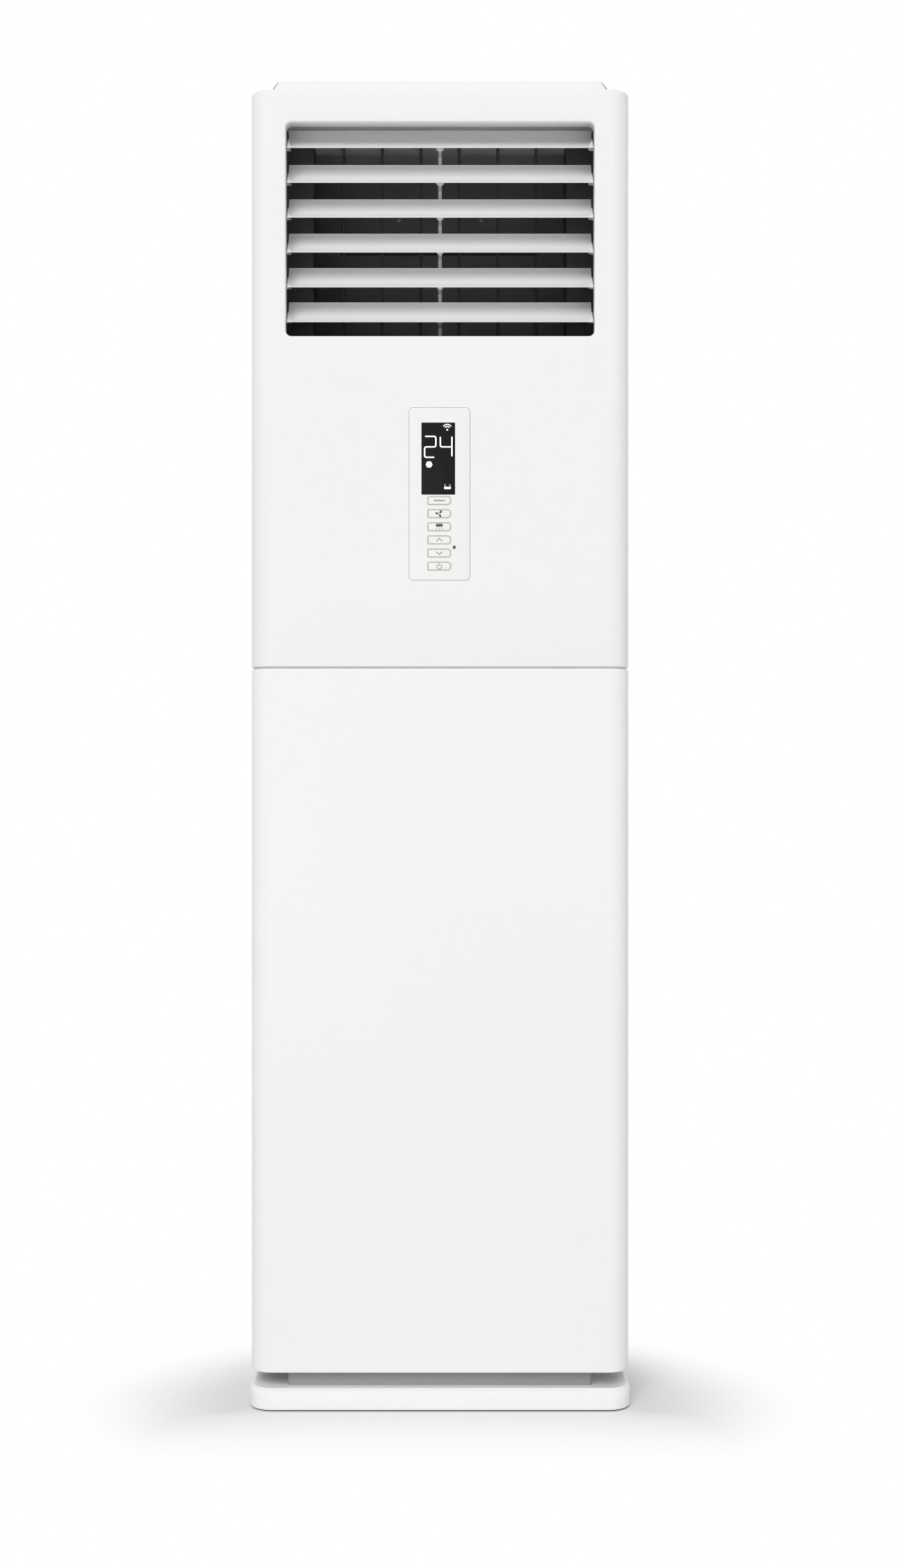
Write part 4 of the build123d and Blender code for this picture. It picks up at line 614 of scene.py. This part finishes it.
def cutWindow(bm, look, front):
    left, right, bottom, top = look["left"], look["right"], look["bottom"], look["top"]
    for point, direction in (((left, 0, 0), (1, 0, 0)), ((right, 0, 0), (1, 0, 0)),
                             ((0, 0, bottom), (0, 0, 1)), ((0, 0, top), (0, 0, 1))):
        bm.normal_update()
        face = facesWhere(bm, lambda c, n: n.y < -0.999 and abs(c.y - front) < near)
        cutAcross(bm, face, at(*point), direction)
    dropFaces(bm, lambda c, n: n.y < -0.999 and left < c.x < right and bottom < c.z < top)

    def inWindow(v):
        return left - near < v.x < right + near and bottom - near < v.z < top + near

    def onEdge(a, b):
        return all(inWindow(v) and abs(v.y - front) < near for v in (a, b))

    loop = [e for e in edgesWhere(bm, onEdge) if e.is_boundary]
    made = bmesh.ops.extrude_edge_only(bm, edges=loop)["geom"]
    moveMade(bm, made, 0, look["depth"], 0)
    corners = edgesWhere(bm, lambda a, b: abs(a.y - b.y) > look["depth"] - 0.1 and inWindow(a)
                         and abs((a - b).length - look["depth"]) < near)
    roundEdges(bm, corners, look["corner"], 6)
    if look["lip"]:
        rim = [e for e in edgesWhere(bm, onEdge) if len(e.link_faces) == 2
               and e.calc_face_angle(0.0) > math.radians(60)]
        roundEdges(bm, rim, look["lip"], 5)


def makeLowerPanel(look):
    bm = bmesh.new()
    startShell(bm, look, look["lowerBottom"], look["lowerTop"])
    dropFaces(bm, lambda c, n: n.z > 0.99 and c.z > look["lowerTop"] - 0.1)
    piece = whitePiece("lowerPanelShell", bm)
    giveWall(piece, look["wall"])
    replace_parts(piece, "lower_front_panel")


def makeSeamStrip(look):
    # stands behind the seam between the two panels
    bm = bmesh.new()
    inset, rise = look["wall"] + look["stripGap"], look["stripRise"]
    block(bm, (-look["half"] + inset, look["front"] + inset, look["lowerTop"] - rise),
          (look["half"] - inset, look["rear"], look["lowerTop"] + rise))
    corners = edgesWhere(bm, lambda a, b: isUpright(a, b) and max(a.y, b.y) < look["front"] + 5)
    roundEdges(bm, corners, look["corner"] - inset, look["stripSteps"])
    dropFaces(bm, lambda c, n: abs(n.z) > 0.9 or n.y > 0.9)
    piece = finishPiece("seamStrip", bm, "cabinet", "plastic_light_grey", "plastic_white")
    giveWall(piece, look["stripWall"])


def makeUpperPanel(look, outlet, window):
    bm = bmesh.new()
    startShell(bm, look, look["upperBottom"], look["upperTop"])
    # step at the top, where the cover sits
    lip, seat = look["coverLip"], look["coverSeat"]
    cutAcross(bm, bm.faces[:], at(0, lip, 0), (0, 1, 0))
    cutAcross(bm, facesWhere(bm, lambda c, n: c.y > lip), at(0, 0, seat), (0, 0, 1))
    dropFaces(bm, lambda c, n: c.y > lip and c.z > seat)
    cutWindow(bm, window, look["front"])
    cutWindow(bm, outlet, look["front"])
    piece = whitePiece("upperPanelShell", bm)
    giveWall(piece, look["wall"])
    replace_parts(piece, "upper_front_panel")


makeLowerPanel(shellLook)
makeSeamStrip(shellLook)
makeUpperPanel(shellLook, outletLook, panelWindow)
print("front panels ready")

# top cover with its raised cap
coverLook = {
    "half": 250.0, "front": -120.0, "rear": 150.0, "seat": 1732.0, "level": 1738.0, "top": 1760.0,
    "rearRound": 3.0, "edge": 2.2, "capHalf": 231.5, "capDeep": 133.5, "capCorner": 22.0,
    "capLean": 15.2, "capEdge": 1.6, "capSink": 1.0, "paintedShadeRise": 2.0,
}


def makeTopCover(look):
    bm = bmesh.new()
    level = look["level"]
    block(bm, (-look["half"], look["front"], look["seat"]), (look["half"], look["rear"], level))
    rear = edgesWhere(bm, lambda a, b: isUpright(a, b) and a.y > look["rear"] - 1)
    roundEdges(bm, rear, look["rearRound"], 4)
    rim = edgesWhere(bm, lambda a, b: onRim(a, b, level, look["front"], -1))
    roundEdges(bm, rim, look["edge"], 4)
    cap = bmesh.new()
    block(cap, (-look["capHalf"], -look["capDeep"], level - look["capSink"]),
          (look["capHalf"], look["capDeep"], level))
    roundEdges(cap, edgesWhere(cap, lambda a, b: abs(a.z - b.z) > 0.5), look["capCorner"], 12)
    cap.normal_update()
    lid = facesWhere(cap, lambda c, n: n.z > 0.9)
    bmesh.ops.inset_region(cap, faces=lid, thickness=look["capLean"] * mm, depth=0.0, use_even_offset=True)
    bmesh.ops.translate(cap, vec=at(0, 0, look["top"] - level), verts=lid[0].verts)
    roundEdges(cap, list(lid[0].edges), look["capEdge"], 4)
    addShape(bm, cap)
    piece = whitePiece("topCoverShell", bm)
    # both sloped ends of the cap wear dark grey: painted shade for the ends that turn away from the light
    secondFinish(piece, "paintedShadeGrey", lambda c, n: abs(n.x) > 0.6 and c.z > level + look["paintedShadeRise"])
    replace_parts(piece, "top_cover")


makeTopCover(coverLook)

# louvers; heights and depths on a blade are from its pivot
louverLook = {
    "levels": (1671.0, 1625.0, 1579.0, 1533.0, 1487.0, 1441.0), "pivotY": -112.3, "half": 202.2,
    "arcY": -49.66, "arcZ": 57.94, "radius": 68.81, "thick": 2.2, "slope": 40.6, "halfTurn": 23.69,
    "steps": 24, "lip": 0.9, "taper": 16.0, "taperPower": 0.6, "noseTurn": -0.35,
    "cheekWidth": 5.6, "cheekThin": 1.0, "cheekRise": 30.0, "cheekApex": (-9.7, 10.2),
    "cheekTurn": 0.3, "cheekSink": 0.3,
    "boss": 4.5, "bossLength": 4.2, "endBoss": 2.7, "earBoss": 2.7, "pin": 2.5, "centrePin": 2.0,
    "earStart": 2.3, "earWidth": 1.5, "footSpread": 2.2, "pinSink": 1.0, "pinReach": 0.5,
    "wall": 208.0, "crankX": 209.0, "crankPlate": 2.5, "crankThrow": 14.0, "crankEye": 2.4,
    "crankPin": 1.5, "crankPinLength": 3.5, "driveEnd": 224.5,
}


def bladePoint(look, degreesFromFront, radius):
    angle = math.radians(look["slope"] - 90 - look["halfTurn"] + degreesFromFront)
    return look["arcY"] + radius * math.cos(angle), look["arcZ"] + radius * math.sin(angle)


def bladeOutline(look, inner, outer):
    # even along the hollow upper face, thinner and rounded towards the front edge
    lip, outline, under = look["lip"], [], []
    for step in range(look["steps"] + 1):
        turn = 2 * look["halfTurn"] * step / look["steps"]
        share = min(1.0, (turn / look["taper"]) ** look["taperPower"])
        outline.append(bladePoint(look, turn, inner))
        under.append(bladePoint(look, turn, inner + lip + (outer - inner - lip) * share))
    return outline + under[::-1] + [bladePoint(look, look["noseTurn"], inner + lip / 2)]


def makeLouver(look, number):
    bm = bmesh.new()
    half, inner, outer = look["half"], look["radius"] - look["thick"] / 2, look["radius"] + look["thick"] / 2
    face = bm.faces.new([bm.verts.new(at(-half, y, z)) for y, z in bladeOutline(look, inner, outer)])
    grown = bmesh.ops.extrude_face_region(bm, geom=[face], use_keep_orig=True)["geom"]
    moveMade(bm, grown, 2 * half, 0, 0)
    # raised cheek at each end of the blade
    sunk, thin = inner + look["cheekSink"], half - look["cheekThin"]
    for side in (-1, 1):
        corners = [(half, *bladePoint(look, 0.0, sunk)),
                   (half - look["cheekWidth"], *bladePoint(look, look["cheekTurn"], sunk)),
                   (half, *look["cheekApex"]), (thin, *look["cheekApex"]),
                   (half, *bladePoint(look, look["cheekRise"], sunk)),
                   (thin, *bladePoint(look, look["cheekRise"], sunk))]
        addHull(bm, [(side * x, y, z) for x, y, z in corners])

    def axle(start, end, radius, sides, y=0.0):
        return rod(bm, at(start, y, 0), at(end, y, 0), radius, sides)

    # bosses at the ends, and ears on both sides of the middle pin
    end, ear, width = look["bossLength"], look["earStart"], look["earWidth"]
    for start, length, reach in ((-half, end, look["endBoss"]), (half - end, end, look["endBoss"]),
                                 (-ear - width, width, look["earBoss"]), (ear, width, look["earBoss"])):
        hub = axle(start, start + length, reach, 20)
        feet = [(x, *bladePoint(look, look["halfTurn"] + lean, look["radius"]))
                for x in (start, start + length) for lean in (-look["footSpread"], look["footSpread"])]
        addHull(bm, feet, hub)
    # pins and the crank; the first louver's right pin goes on into the motor
    crank, crankEnd, throw = look["crankX"], look["crankX"] + look["crankPlate"], look["crankThrow"]
    axle(-look["wall"] - look["pinReach"], -half + look["pinSink"], look["pin"], 20)
    axle(-ear, ear, look["centrePin"], 16)
    driveEnd = look["driveEnd"] if number == 1 else crank + look["pinReach"]
    axle(half - look["pinSink"], driveEnd, look["pin"], 20)
    plate = axle(crank, crankEnd, look["boss"], 20) + axle(crank, crankEnd, look["crankEye"], 16, throw)
    addHull(bm, (), plate)
    axle(crankEnd, crankEnd + look["crankPinLength"], look["crankPin"], 14, throw)
    bmesh.ops.translate(bm, vec=at(0, look["pivotY"], look["levels"][number - 1]), verts=bm.verts)
    piece = whitePiece(f"louverBlade{number}", bm, f"louver_body_{number}")
    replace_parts(piece, f"louver_{number}")


for number in range(1, len(louverLook["levels"]) + 1):
    makeLouver(louverLook, number)

# column behind the louvers that carries their middle pins
columnLook = {
    "half": 2.4, "front": -80.0, "back": -68.0, "bottom": 1412.6, "top": 1705.1, "round": 0.5,
    "footHalf": 10.0, "foot": 2.5, "finger": 2.6, "fingerHalf": 2.0, "fingerGap": 0.3, "fingerSink": 0.1,
    "eye": 3.4, "eyeGap": 0.1, "flare": 4.2, "flareRise": 11.5, "flareDrop": 4.0, "flareDepths": (1.0, 3.0),
}


def makeColumn(look, louver):
    bm = bmesh.new()
    half, front, back, thin = look["half"], look["front"], look["back"], look["fingerHalf"]
    block(bm, (-half, front, look["bottom"]), (half, back, look["top"]))
    for level in (look["bottom"], look["top"] - look["foot"]):
        block(bm, (-look["footHalf"], front, level), (look["footHalf"], back, level + look["foot"]))
    pinY, pin, rise = louver["pivotY"], louver["centrePin"], look["flareRise"]
    for level in louver["levels"]:
        # finger that ends in a ring around the pin
        block(bm, (-thin, pinY + pin + look["fingerGap"], level - look["finger"] / 2),
              (thin, front + look["fingerSink"], level + look["finger"] / 2))
        ring = rod(bm, at(-thin, pinY, level), at(thin, pinY, level), look["eye"], 28)
        ends = [f for f in bm.faces if abs(f.normal.x) > 0.9 and all(v in ring for v in f.verts)]
        bmesh.ops.inset_region(bm, faces=ends, thickness=(look["eye"] - pin - look["eyeGap"]) * mm)
        bmesh.ops.delete(bm, geom=ends, context="FACES")
        bmesh.ops.bridge_loops(bm, edges=[e for e in bm.edges if e.is_boundary])
        # small webs on both sides, above the finger
        for side in (-1, 1):
            web = [(side * x, front + depth, level + z) for depth in look["flareDepths"]
                   for x, z in ((half, rise - look["flareDrop"]), (half + look["flare"], rise), (half, rise))]
            addHull(bm, web)
    piece = finishPiece(
        "middleColumn", bm, "cabinet", "plastic_light_grey", "plastic_light_grey", merge=False)
    giveSoftEdge(piece, look["round"], 50.0)
    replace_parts(piece, "centre_support")


makeColumn(columnLook, louverLook)
print("louvers ready")

# control panel; key corners are lower left, lower right, upper right, upper left
bezelLook = {
    "x": -0.7, "z": 1205.7, "width": 80.0, "height": 226.8, "corner": 5.2, "face": -150.5, "back": -147.5,
    "edge": 0.9, "displayGap": 0.25, "cutAhead": 2.0, "cutDepth": 8.0,
}
displayLook = {
    "x": -2.3, "z": 1252.05, "width": 43.8, "height": 94.3, "face": -150.42, "corner": 0.8, "thick": 6.0,
    "edge": 0.3, "proud": 0.05,
    # strokes of the number, from the middle of the glass
    "strokes": (((-17.3, 29.2), (-3.2, 29.2), (-3.2, 15.4), (-18.0, 15.4), (-18.0, 1.7), (-5.4, 1.7)),
                ((2.7, 28.6), (2.7, 15.4), (17.4, 15.4)), ((17.9, 28.7), (17.9, 3.0))),
    "strokeWidth": 1.7, "strokeRound": 2.4,
    "signal": (11.8, 38.4), "signalRadii": (3.9, 6.6), "signalTurns": (38, 142), "signalWidth": 1.1,
    "dot": (11.8, 38.0, 1.2),
    "mode": (-12.1, -7.7), "modeRadius": 4.5, "spokeTurns": (20, 80, 140), "spokeRadius": 2.1,
    "spokeWidth": 0.6, "spokeProud": 0.03,
    "tray": (12.1, -38.6), "traySize": (8.8, 3.0), "trayCorners": (1.2, 1.2, 0.4, 0.4),
    "postFoot": (3.6, -36.6), "postTop": (2.88, -33.6), "postWidth": 0.9,
    "ledgeGap": 1.6, "ledgeHeight": 1.9, "ledgeCorner": 0.5, "ledgeY": -150.5, "ledgeProud": 0.25,
}
keyLook = {
    "names": ("mode", "fan", "swing", "up", "down", "power"), "x": -1.0, "first": 1196.9, "pitch": 17.24,
    "width": 30.6, "height": 11.3, "left": 1.5, "right": 4.0, "face": -150.8, "back": -144.9, "edge": 0.35,
    "gap": 0.3, "flangeHalf": (16.5, 6.8), "flange": (-145.2, -144.2), "stemHalf": 2.0,
    "stem": (-144.3, -141.1), "outline": 1.0, "outlineInset": 0.35, "outlineCorner": 0.6, "proud": 0.04,
}
sensorDot = {"x": 18.7, "z": 1135.6, "radius": 2.2, "face": -150.8, "proud": 0.12}


def plateSketch(bm, x, z, width, height, y, corners):
    # flat plate that faces the front, with a radius for each corner
    points = [(-1, -1), (1, -1), (1, 1), (-1, 1)]
    verts = [bm.verts.new(at(x + sx * width / 2, y, z + sz * height / 2)) for sx, sz in points]
    bm.faces.new(verts)
    for vert, radius in zip(verts, corners):
        if radius:
            roundEdges(bm, [vert], radius, 6, "VERTICES")


def growBack(bm, depth):
    grown = bmesh.ops.extrude_face_region(bm, geom=bm.faces[:], use_keep_orig=True)["geom"]
    moveMade(bm, grown, 0, depth, 0)


def roundFront(bm, y, radius, segments=3):
    rim = edgesWhere(bm, lambda a, b: all(abs(v.y - y) < near / 2 for v in (a, b)))
    roundEdges(bm, rim, radius, segments)


def evenCorners(corner):
    return (corner,) * 4


def keyCorners(look, grow=0.0):
    return (look["left"] + grow, look["right"] + grow, look["right"] + grow, look["left"] + grow)


def keyLevel(look, name):
    return look["first"] - look["pitch"] * look["names"].index(name)


def makeBezel(look, display, keys):
    bm = bmesh.new()
    face = look["face"]
    plateSketch(bm, look["x"], look["z"], look["width"], look["height"], face, evenCorners(look["corner"]))
    growBack(bm, look["back"] - face)
    roundFront(bm, face, look["edge"], 4)
    piece = finishPiece("controlBezel", bm, "cabinet", "plastic_bezel", "plastic_bezel")
    # openings for the display and the keys
    gap = 2 * look["displayGap"]
    openings = [(display["x"], display["z"], display["width"] + gap, display["height"] + gap,
                 evenCorners(display["corner"]))]
    gap = 2 * keys["gap"]
    openings += [(keys["x"], keyLevel(keys, name), keys["width"] + gap, keys["height"] + gap,
                  keyCorners(keys, keys["gap"])) for name in keys["names"]]
    bm = bmesh.new()
    for x, z, width, height, corners in openings:
        one = bmesh.new()
        plateSketch(one, x, z, width, height, face - look["cutAhead"], corners)
        growBack(one, look["cutDepth"])
        bmesh.ops.recalc_face_normals(one, faces=one.faces)
        addShape(bm, one)
    cutter = addObject("windowShapes", toMesh("windowShapes", bm))
    cut = piece.modifiers.new("windows", "BOOLEAN")
    cut.operation, cut.solver, cut.object = "DIFFERENCE", "EXACT", cutter
    bakeShape(piece)
    bpy.data.objects.remove(cutter)
    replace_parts(piece, "control_bezel")


# marks drawn on a face that looks to the front; style holds body, finish and slot


def strokePiece(name, paths, width, y, proud, style, rounding=0.0):
    bm = bmesh.new()
    for points in paths:
        verts = [bm.verts.new(at(x, y, z)) for x, z in points]
        for a, b in zip(verts, verts[1:]):
            bm.edges.new((a, b))
    if rounding:
        joints = [v for v in bm.verts if len(v.link_edges) == 2]
        roundEdges(bm, joints, rounding, 4, "VERTICES")
    made = bmesh.ops.extrude_edge_only(bm, edges=bm.edges[:])["geom"]
    moveMade(bm, made, 0, -proud, 0)
    piece = finishPiece(name, bm, *style)
    giveWall(piece, width, 0.0)
    bakeShape(piece)


def platePiece(name, x, z, width, height, corners, y, proud, style):
    bm = bmesh.new()
    plateSketch(bm, x, z, width, height, y - proud, corners)
    growBack(bm, proud)
    finishPiece(name, bm, *style)


def discPiece(name, x, z, radius, sides, y, proud, style):
    bm = bmesh.new()
    rod(bm, at(x, y, z), at(x, y - proud, z), radius, sides)
    finishPiece(name, bm, *style)


def arcPoints(x, z, radius, start, end, steps=8):
    turns = [math.radians(start + (end - start) * i / steps) for i in range(steps + 1)]
    return [(x + radius * math.cos(a), z + radius * math.sin(a)) for a in turns]


def makeDisplay(look):
    bm = bmesh.new()
    x, z, y, proud = look["x"], look["z"], look["face"], look["proud"]
    plateSketch(bm, x, z, look["width"], look["height"], y, evenCorners(look["corner"]))
    growBack(bm, look["thick"])
    roundFront(bm, y, look["edge"])
    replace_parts(finishPiece("displayGlass", bm, "cabinet", "glass_black", "glass_black"), "display_window")

    def placed(u, w):
        return x + u, z + w

    lit, dim = (("cabinet", finish, "plastic_light_grey") for finish in ("digitLight", "digitDim"))
    strokes = [[placed(*point) for point in line] for line in look["strokes"]]
    strokePiece("displayDigits", strokes, look["strokeWidth"], y, proud, lit, look["strokeRound"])
    arcs = [arcPoints(*placed(*look["signal"]), radius, *look["signalTurns"])
            for radius in look["signalRadii"]]
    strokePiece("displaySignal", arcs, look["signalWidth"], y, proud, lit)
    dotX, dotZ, dotRadius = look["dot"]
    discPiece("displayDots", *placed(dotX, dotZ), dotRadius, 20, y, proud, lit)
    modeX, modeZ = placed(*look["mode"])
    hexagon, middle = bmesh.new(), at(modeX, y, modeZ)
    rod(hexagon, middle, at(modeX, y - proud, modeZ), look["modeRadius"], 6)
    turnAround(hexagon, middle, 30.0, hexagon.verts)
    finishPiece("displayModeMark", hexagon, *lit)
    spokes = [arcPoints(modeX, modeZ, look["spokeRadius"], turn + 180, turn, 1)
              for turn in look["spokeTurns"]]
    strokePiece("displayModeSpokes", spokes, look["spokeWidth"], y - proud, look["spokeProud"], dim)
    platePiece("displayTray", *placed(*look["tray"]), *look["traySize"], look["trayCorners"], y, proud, lit)
    (footX, footZ), (topX, topZ), trayX = look["postFoot"], look["postTop"], look["tray"][0]
    posts = [[placed(trayX + side * footX, footZ), placed(trayX + side * topX, topZ)] for side in (-1, 1)]
    strokePiece("displayPosts", posts, look["postWidth"], y, proud, dim)
    # the strip above the display is whiter than the bezel: painted highlight along the lit top edge of the
    # display's recess
    platePiece("displayLedge", x, z + look["height"] / 2 + look["ledgeGap"], look["width"],
               look["ledgeHeight"], evenCorners(look["ledgeCorner"]), look["ledgeY"],
               look["ledgeProud"], ("cabinet", "paintedHighlightWhite", "plastic_bezel"))


# key marks, from the middle of the key
markLook = {
    "barSize": (15.0, 1.9), "barCorner": 0.6,
    "bladeTurns": (172, 52, -68), "bladeReach": 3.0, "bladeHalf": (2.3, 1.45),
    "flapRise": 2.0, "flapSize": (9.0, 3.9), "flapCorner": 1.0,
    "airOffsets": (-3.2, 0.0, 3.2), "airTop": -1.2, "airFoot": -3.9, "airSpread": 1.25, "airWidth": 1.2,
    "arrowHalf": 3.9, "arrowFoot": -1.8, "arrowTip": 2.0, "arrowWidth": 1.3,
    "powerDrop": -0.6, "powerRadius": 3.1, "powerTurns": (125, 415, 18), "powerStem": (0.3, 4.0),
    "powerWidth": 1.1,
}


def makeFanMark(look, mark, x, z, y, proud, style):
    bm = bmesh.new()
    halfLength, halfWidth = look["bladeHalf"]
    for degrees in look["bladeTurns"]:
        turn = math.radians(degrees)
        blade = rod(bm, at(0, y, 0), at(0, y - proud, 0), 1.0, 16)
        bmesh.ops.scale(bm, vec=(halfLength, 1.0, halfWidth), verts=blade)
        turnAround(bm, at(0, 0, 0), -degrees, blade)
        reach = look["bladeReach"]
        way = at(x + reach * math.cos(turn), 0, z + reach * math.sin(turn))
        bmesh.ops.translate(bm, vec=way, verts=blade)
    finishPiece(mark, bm, *style)


def keyMark(look, name, x, z, y, proud):
    mark, body = f"{name}KeyMark", f"{name}_key"
    grey, faint, dark = (
        (body, finish, "plastic_bezel") for finish in ("printGrey", "faintGrey", "printDark"))
    if name == "mode":
        platePiece(mark, x, z, *look["barSize"], evenCorners(look["barCorner"]), y, proud, grey)
    if name == "fan":
        makeFanMark(look, mark, x, z, y, proud, dark)
    if name == "swing":
        platePiece(mark, x, z + look["flapRise"], *look["flapSize"], evenCorners(look["flapCorner"]),
                   y, proud, dark)
        air = [[(x + u, z + look["airTop"]), (x + u * look["airSpread"], z + look["airFoot"])]
               for u in look["airOffsets"]]
        strokePiece("swingKeyAir", air, look["airWidth"], y, proud, faint)
    if name in ("up", "down"):
        way = 1 if name == "up" else -1
        foot, tip = z + way * look["arrowFoot"], z + way * look["arrowTip"]
        arrow = [(x - look["arrowHalf"], foot), (x, tip), (x + look["arrowHalf"], foot)]
        strokePiece(mark, [arrow], look["arrowWidth"], y, proud, grey)
    if name == "power":
        ring = arcPoints(x, z + look["powerDrop"], look["powerRadius"], *look["powerTurns"])
        stem = [(x, z + level) for level in look["powerStem"]]
        strokePiece(mark, [ring, stem], look["powerWidth"], y, proud, grey)


def makeKey(look, name):
    x, z, face, body = look["x"], keyLevel(look, name), look["face"], f"{name}_key"
    bm = bmesh.new()
    plateSketch(bm, x, z, look["width"], look["height"], face, keyCorners(look))
    growBack(bm, look["back"] - face)
    roundFront(bm, face, look["edge"])
    # flange that holds the key behind the bezel, and the stem that presses the switch
    across, up = look["flangeHalf"]
    block(bm, (x - across, look["flange"][0], z - up), (x + across, look["flange"][1], z + up))
    stem = look["stemHalf"]
    block(bm, (x - stem, look["stem"][0], z - stem), (x + stem, look["stem"][1], z + stem))
    piece = finishPiece(f"{name}Key", bm, body, "plastic_bezel", "plastic_bezel", merge=False)
    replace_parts(piece, f"{name}_button")
    # faint grey line around the key
    inset, ring = look["outline"] / 2 + look["outlineInset"], bmesh.new()
    plateSketch(ring, x, z, look["width"] - 2 * inset, look["height"] - 2 * inset, face,
                keyCorners(look, -inset * look["outlineCorner"]))
    bmesh.ops.delete(ring, geom=ring.faces[:], context="FACES_ONLY")
    made = bmesh.ops.extrude_edge_only(ring, edges=ring.edges[:])["geom"]
    moveMade(ring, made, 0, -look["proud"], 0)
    outline = finishPiece(f"{name}KeyOutline", ring, body, "faintGrey", "plastic_bezel")
    giveWall(outline, look["outline"], 0.0)
    bakeShape(outline)
    keyMark(markLook, name, x, z, face, look["proud"])


makeBezel(bezelLook, displayLook, keyLook)
makeDisplay(displayLook)
for name in keyLook["names"]:
    makeKey(keyLook, name)
discPiece("sensorDot", sensorDot["x"], sensorDot["z"], sensorDot["radius"], 24, sensorDot["face"],
          sensorDot["proud"], ("cabinet", "printDark", "plastic_dark"))
print("control panel ready")

# CAD nodes carried over with merged faces, some with a second finish
plinthLook = {"gap": 1.8, "toe": 2.0, "edge": 0.9, "edgeAngle": 40.0}
roofLevel = 1690.0  # duct faces above this are the pale roof over the first louver


def mergedCopy(node):
    bm = bmesh.new()
    bm.from_mesh(frame["nodes"][node].data)
    bmesh.ops.remove_doubles(bm, verts=bm.verts, dist=2e-6)
    bmesh.ops.dissolve_limit(bm, angle_limit=math.radians(0.6), verts=bm.verts, edges=bm.edges, delimit=set())
    return bm


def standIn(node, name, bm):
    slot = next(row["material_slot"] for row in frame["record"]["subparts"] if row["node"] == node)
    body = frame["nodes"][node]["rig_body"]
    piece = finishPiece(name, bm, body, slot, slot, sharp=32.0, merge=False, turn=False)
    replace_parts(piece, node)
    return piece


def makePlinth(look):
    # the lower rim is lifted off the floor, where the dark strip stands, and rounded outside
    bm = mergedCopy("base_plinth")
    bm.normal_update()
    low = min(v.co.z for v in bm.verts) + near * mm
    for vert in [v for v in bm.verts if v.co.z < low]:
        vert.co.z += look["gap"] * mm
    low += look["gap"] * mm

    def isOutside(face):
        return abs(face.normal.z) < 0.2 and face.normal.xy.dot(face.calc_center_median().xy) > 0

    rim = [e for e in bm.edges if all(v.co.z < low for v in e.verts) and any(map(isOutside, e.link_faces))]
    roundEdges(bm, rim, look["toe"], 4)
    giveSoftEdge(standIn("base_plinth", "basePlinthPart", bm), look["edge"], look["edgeAngle"], harden=True)


makePlinth(plinthLook)
for node, name in (("base_pan", "basePanPart"), ("left_side_panel", "leftSidePanelPart"),
                   ("right_side_panel", "rightSidePanelPart")):
    standIn(node, name, mergedCopy(node))
duct = standIn("outlet_duct", "outletDuctPart", mergedCopy("outlet_duct"))
secondFinish(duct, "plastic_white", lambda c, n: n.z < -0.9 and c.z > roofLevel)

# dark strip that the plinth stands on, set back from its wall; its dark tone is painted shade for the line
# where the plinth meets the floor
stripLook = {"inset": 6.0, "wall": 4.0, "corner": 22.0, "rise": 5.0}


def makeStrip(look):
    foot = [v.co / mm for v in frame["nodes"]["base_plinth"].data.vertices if v.co.z < 0.1 * mm]
    across, inset = max(v.x for v in foot) - look["inset"], look["inset"]
    front, rear = min(v.y for v in foot) + inset, max(v.y for v in foot) - inset
    bm = bmesh.new()
    block(bm, (-across, front, 0.0), (across, rear, look["rise"]))
    roundEdges(bm, edgesWhere(bm, isUpright), look["corner"], 8)
    dropFaces(bm, lambda c, n: abs(n.z) > 0.5, "FACES_ONLY")
    giveWall(finishPiece("standingStrip", bm, "cabinet", "paintedShadeDark", "plastic_dark"), look["wall"])


makeStrip(stripLook)
backSheet = standIn("back_panel", "backSheet", mergedCopy("back_panel"))
secondFinish(backSheet, "paintedShadeLining", lambda c, n: n.y < -0.5)  # inner side painted dark: painted shade for the inside of the cabinet seen through the outlet

# screws on the back: flange screws at the sides, and two for the wall bracket
screwLook = {
    "x": 240.5, "y": 150.0, "levels": (96.0, 392.0, 688.0, 984.0, 1280.0, 1576.0), "radius": 4.2, "head": 1.7,
    "bracketX": 60.0, "bracketY": 146.0, "bracketLevel": 1650.0, "bracketRadius": 5.5, "bracketHead": 2.6,
    "crown": 0.72, "rim": 0.18, "rimRise": 0.15, "slotHalf": 2.2, "slotWide": 0.45, "slotSink": 0.1,
    "slotRise": 0.22,
}


def addScrew(bm, look, x, y, z, radius, head):
    # dished head that stands on its face, with a cross
    cap = rod(bm, at(x, y, z), at(x, y + head, z), radius, 20, radius * look["crown"])
    bm.normal_update()
    top = [f for f in bm.faces if f.normal.y > 0.95 and all(v in cap for v in f.verts)]
    bmesh.ops.inset_region(bm, faces=top, thickness=radius * look["rim"] * mm, depth=look["rimRise"] * mm)
    for turn in (0.0, 90.0):
        bar = block(bm, (x - look["slotHalf"], y + head - look["slotSink"], z - look["slotWide"]),
                    (x + look["slotHalf"], y + head + look["slotRise"], z + look["slotWide"]))
        turnAround(bm, at(x, y, z), turn, bar)


def makeScrews(look):
    bm = bmesh.new()
    for side in (-1, 1):
        for level in look["levels"]:
            addScrew(bm, look, side * look["x"], look["y"], level, look["radius"], look["head"])
        addScrew(bm, look, side * look["bracketX"], look["bracketY"], look["bracketLevel"],
                 look["bracketRadius"], look["bracketHead"])
    finishPiece("backScrews", bm, "cabinet", "steel", "steel", merge=False)


makeScrews(screwLook)
print("sheet metal ready")
